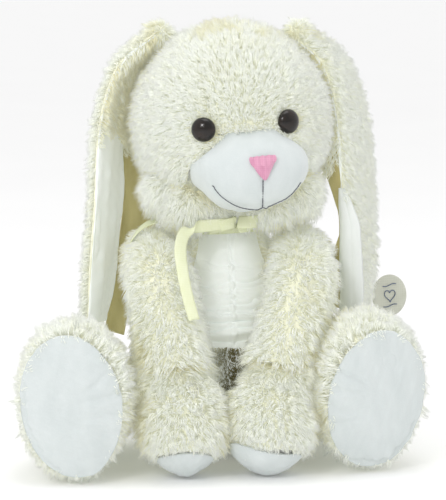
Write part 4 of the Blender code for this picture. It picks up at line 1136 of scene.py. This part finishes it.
smile_line = [on_muzzle(across, up, 0.0003) for across, up in spread(SMILE, 70)]
chin_up = float(np.interp(0.0, SMILE_ACROSS, SMILE_UP))
philtrum_line = [on_muzzle(0.0, up, 0.0003) for up in np.linspace(-0.0105, chin_up + 0.001, 18)]
mouth = mesh_of("mouth_thread", *stitches(smile_line, 0.0042, 0.00052), *stitches(philtrum_line, 0.0036, 0.00056))
show("mouth_thread", mouth, THREAD, ("mouth_stitching",))


def nose_folds(points):
    offset = points - NOSE
    across, up = offset @ EYE_LINE, offset @ FACE_UP
    middle = -0.0010 * np.exp(-(across / 0.0016) ** 2) * (up < 0.002)
    pleats = 0.0006 * np.sin(across * math.tau / 0.0052) * np.clip((up + 0.002) / 0.008, 0, 1)
    return middle + pleats + 0.0002 * ripples(points, 0.008, 121)


nose = moved(subdivided(welded("nose_patch"), 3, crease=0.3), nose_folds)
nose_points, _ = arrays(nose)
nose_points += ((nose_points - NOSE) @ EYE_LINE)[:, None] * EYE_LINE * 0.12
nose_points += ((nose_points - NOSE) @ FACE_UP)[:, None] * FACE_UP * 0.10
nose.vertices.foreach_set("co", nose_points.ravel())
show("nose_satin", nose, NOSE_SATIN, ("nose_patch",))


# ---------------------------------------------------------------- eyes
EYE_SHIFT = {"right": 0.0025, "left": 0.0045}      # towards the rabbit's right
EYE_SINK = 0.0015
for label, eye in eyes.items():
    radius, base, top = eye["radius"], eye["base"], eye["top"]
    dome = [(base - 0.0026, 0.0), (base - 0.0026, radius * 0.80), (base - 0.0014, radius * 0.965),
            (base - 0.0004, radius)]
    dome += [(base + (top - base) * math.sin(math.radians(a)), radius * math.cos(math.radians(a)))
             for a in range(4, 88, 6)]
    dome.append((top, 0.0))
    shape = turned(eye["middle"] - EYE_LINE * EYE_SHIFT[label] - eye["axis"] * EYE_SINK, eye["axis"], dome)
    stem = turned(eye["middle"], eye["axis"],
                  [(-0.005, 0.0), (-0.005, 0.0020), (base - 0.002, 0.0020), (base - 0.002, 0.0)], 16)
    show(f"eye_{label}_dome", mesh_of("eye", shape, stem), EYE_GLOSS, (f"eye_{label}",))
    washer = NODES[f"eye_washer_{label}"].data.materials
    washer.clear()
    washer.append(WASHER)


# ---------------------------------------------------------------- ribbon
def ribbon(line, wide_ways, thickness=0.0006, closed=False, columns=8, cup=0.0006):
    """A ribbon along a line: slightly cupped, with a thicker edge on both sides."""
    line = np.asarray(line)
    count = len(line)
    if closed:
        along = unit(np.roll(line, -1, 0) - np.roll(line, 1, 0))
    else:
        along = unit(np.gradient(line, axis=0))
    wide = unit(wide_ways - along * (wide_ways * along).sum(1, keepdims=True))
    deep = np.cross(along, wide)
    shares = np.linspace(-1, 1, columns)
    profile = []
    for side in (1, -1):
        for s in (shares if side > 0 else shares[::-1]):
            edge = 1.0 + 0.9 * max(0.0, abs(s) - 0.82) / 0.18
            profile.append((s * RIBBON_WIDTH / 2, side * thickness / 2 * edge + cup * (1 - s * s)))
    across, proud = np.array(profile).T
    points = line[:, None] + wide[:, None] * across[None, :, None] + deep[:, None] * proud[None, :, None]
    faces = between_rings(count, len(profile), closed) + ([] if closed else over_ends(count, len(profile)))
    return points.reshape(-1, 3), np.array(faces)


RIBBON_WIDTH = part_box("ribbon_collar")[1].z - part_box("ribbon_collar")[0].z
low, high = (np.array(corner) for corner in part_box("ribbon_collar"))
collar_middle, collar_half = (low + high) / 2, (high - low) / 2
angles = np.linspace(0, math.tau, 120, endpoint=False)
collar_line = np.stack([
    collar_middle[0] + collar_half[0] * np.sin(angles),
    collar_middle[1] - collar_half[1] * np.cos(angles),
    collar_middle[2] + 0.0012 * np.sin(3 * angles + 0.5),
], axis=1)
collar = mesh_of("collar", ribbon(collar_line, UP, closed=True))
piece = show("ribbon_band", collar, RIBBON_SATIN, ("ribbon_collar",))

KNOT = centre_of("bow_knot")


def knot_pleats(points):
    height = (points - KNOT)[:, 2]
    return 0.0005 * np.sin(height * math.tau / 0.0034) + 0.0003 * ripples(points, 0.01, 131)


knot = moved(subdivided(welded("bow_knot"), 3), knot_pleats)
piece = show("bow_knot_satin", knot, RIBBON_SATIN, ("bow_knot",))

# Each loop: how far it reaches, how much it sags, and which way its cloth faces.
LOOPS = {"right": (0.026, 0.22, (-0.10, -0.35, 1.0)), "left": (0.0185, -0.02, (0.16, 0.25, 1.0))}
BOW_AT = seen(0.0135, 0.0285, KNOT[1] - 0.0075)
for label, (reach, sag, facing_way) in LOOPS.items():
    sign = SIDES[label]
    start = BOW_AT + np.array((sign * 0.001, 0.0, 0.0))
    loop = []
    for a in np.radians(np.linspace(-160, 160, 44)):
        out = reach / 2 * (1 + math.cos(a))
        loop.append(start + np.array((sign * out, 0.0065 * math.sin(a) - 0.10 * out, -sag * out)))
    loop_mesh = mesh_of("loop", ribbon(loop, np.array(facing_way)))
    piece = show(f"bow_loop_{label}_satin", loop_mesh, RIBBON_SATIN, (f"bow_loop_{label}",))

# The front tail leaves the knot, crosses the chest, turns over and hangs on the right arm.
tail_path = (seen(0.013, 0.027, -0.062), seen(-0.006, 0.025, -0.070), seen(-0.025, 0.023, -0.076),
             seen(-0.038, 0.017, -0.086), seen(-0.0425, 0.002, -0.100), seen(-0.0410, -0.018, -0.118),
             seen(-0.0360, -0.044, -0.131), seen(-0.0290, -0.070, -0.139))
tail_line = smooth_line(tail_path, 70)
share = np.minimum(np.linspace(0, 1, 70)[:, None] * 2.4, 1)
tail_ways = np.array((0.1, -0.3, 1.0)) * (1 - share) + np.array((1.0, 0.55, 0.05)) * share
tail_mesh = mesh_of("tail", ribbon(tail_line, tail_ways))
piece = show("ribbon_tail_front_satin", tail_mesh, RIBBON_SATIN, ("ribbon_tail_front",),
             blended=("torso", "arm_right", Vector(tail_path[2]), Vector(tail_path[5])))

# The other tail lies over the right shoulder, behind the front one.
over_path = (seen(-0.020, 0.028, -0.046), seen(-0.045, 0.0310, -0.040), seen(-0.064, 0.0300, -0.038),
             seen(-0.080, 0.0235, -0.038), seen(-0.091, 0.0110, -0.038), seen(-0.096, -0.004, -0.036))
over_line = smooth_line(over_path, 40)
over_mesh = mesh_of("tail", ribbon(over_line, np.array((0.25, 1.0, 0.35))))
piece = show("ribbon_tail_shoulder_satin", over_mesh, RIBBON_SATIN, ("ribbon_tail_shoulder",))

# ---------------------------------------------------------------- labels
label_middle, label_axis = disc_of("round_label")
label_axis = towards(label_axis, FRONT)
label_radius = (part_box("round_label")[1].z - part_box("round_label")[0].z) / 2
disc = [(-0.0006, 0.0)] + [(-0.0006, label_radius * s) for s in np.linspace(0.1, 0.98, 10)]
disc += [(0.0, label_radius)] + [(0.0006, label_radius * s) for s in np.linspace(0.98, 0.1, 10)] + [(0.0006, 0.0)]
label_middle = label_middle + np.array((-0.0035, 0.0, -0.0065))
label_axis = unit(label_axis + np.array((0.35, 0.0, 0.05)))
label_disc = turned(label_middle, label_axis, disc, 64)
show("round_label_cloth", mesh_of("label", label_disc), LABEL_CLOTH, ("round_label",))
label_across = unit(np.cross(UP, label_axis))
label_up = np.cross(label_axis, label_across)


def on_label(x, y, lift=0.0008):
    return label_middle + label_across * x + label_up * y + label_axis * lift


lines = [[on_label(x, level + 0.0012 * math.sin(x * 300)) for x in np.linspace(-0.0085, 0.0085, 16)]
         for level in (0.0105, -0.0105)]
heart = []
for a in np.linspace(0, math.tau, 60):
    x = 16 * math.sin(a) ** 3
    y = 13 * math.cos(a) - 5 * math.cos(2 * a) - 2 * math.cos(3 * a) - math.cos(4 * a)
    heart.append(on_label(x * 0.00042, y * 0.00042))
heart_mesh = mesh_of("heart", *(t for line in (*lines, heart) for t in stitches(line, 0.0026, 0.00045)))
show("round_label_stitching", heart_mesh, LABEL_THREAD, (), body="round_label", slot="label_cloth")

for name in ("care_label", "label_tab"):
    cloth = moved(subdivided(welded(name), 3, crease=0.85), lambda p: 0.0003 * ripples(p, 0.012, 141))
    show(f"{name}_cloth", cloth, LABEL_CLOTH, (name,))


# ---------------------------------------------------------------- what lies inside
def lumps(points):
    return -0.0006 - 0.0005 * np.abs(ripples(points, 0.03, 151)) - 0.0002 * ripples(points, 0.008, 152)


for name in sorted(NODES):
    if name.endswith("_stuffing") and name != "neck_stuffing" or name == "pellet_bag":
        filling = moved(subdivided(welded(name), 1, crease=0.5), lumps)
        piece = show(f"{name}_fill", filling, PELLET_CLOTH if name == "pellet_bag" else FIBRE, (name,))


# ---------------------------------------------------------------- floor and light
def floor_material():
    made, tree, shader = shader_tree("pale_floor")
    tree.links.new(ramp(tree, speckle(tree, 3.0, 2.0), (0.3, (0.965, 0.965, 0.965)), (0.7, (0.98, 0.98, 0.98))),
                   shader.inputs["Base Color"])
    finish_of(shader, 0.9, specular=0.1, emission_strength=0.05)
    return made


bm = bmesh.new()
bmesh.ops.create_grid(bm, x_segments=4, y_segments=4, size=90.0)
floor_mesh = mesh_from(bm, "floor")
floor_mesh.materials.append(floor_material())
in_scene("floor", floor_mesh)

world = bpy.data.worlds.new("studio")
bpy.context.scene.world = world
world.use_nodes = True
sky = world.node_tree
toward = node(sky, "ShaderNodeTexCoord")
split = node(sky, "ShaderNodeSeparateXYZ")
# The sky is dimmer in front of the rabbit.
level = node(sky, "ShaderNodeMapRange", **{"From Min": -0.80, "From Max": -0.25, "To Min": 0.72, "To Max": 1.0})
sky.links.new(toward.outputs["Generated"], split.inputs["Vector"])
sky.links.new(split.outputs["Y"], level.inputs["Value"])
sky.links.new(level.outputs["Result"], sky.nodes["Background"].inputs["Color"])
sky.nodes["Background"].inputs["Strength"].default_value = 0.96

LAMPS = (("key", (-0.75, -1.35, 1.05), 3.0, 0.14), ("softbox", (-0.9, -1.7, 1.2), 5.0, 0.9),
         ("top", (0.1, -0.2, 2.2), 8.0, 1.2))           # name, place, watts and metres across
for name, where, power, size in LAMPS:
    data = bpy.data.lights.new(name, "AREA")
    data.energy = power
    data.size = size
    aim(in_scene(name, data), where, (0.0, 0.0, 0.2))

bpy.context.scene.view_settings.view_transform = "Standard"
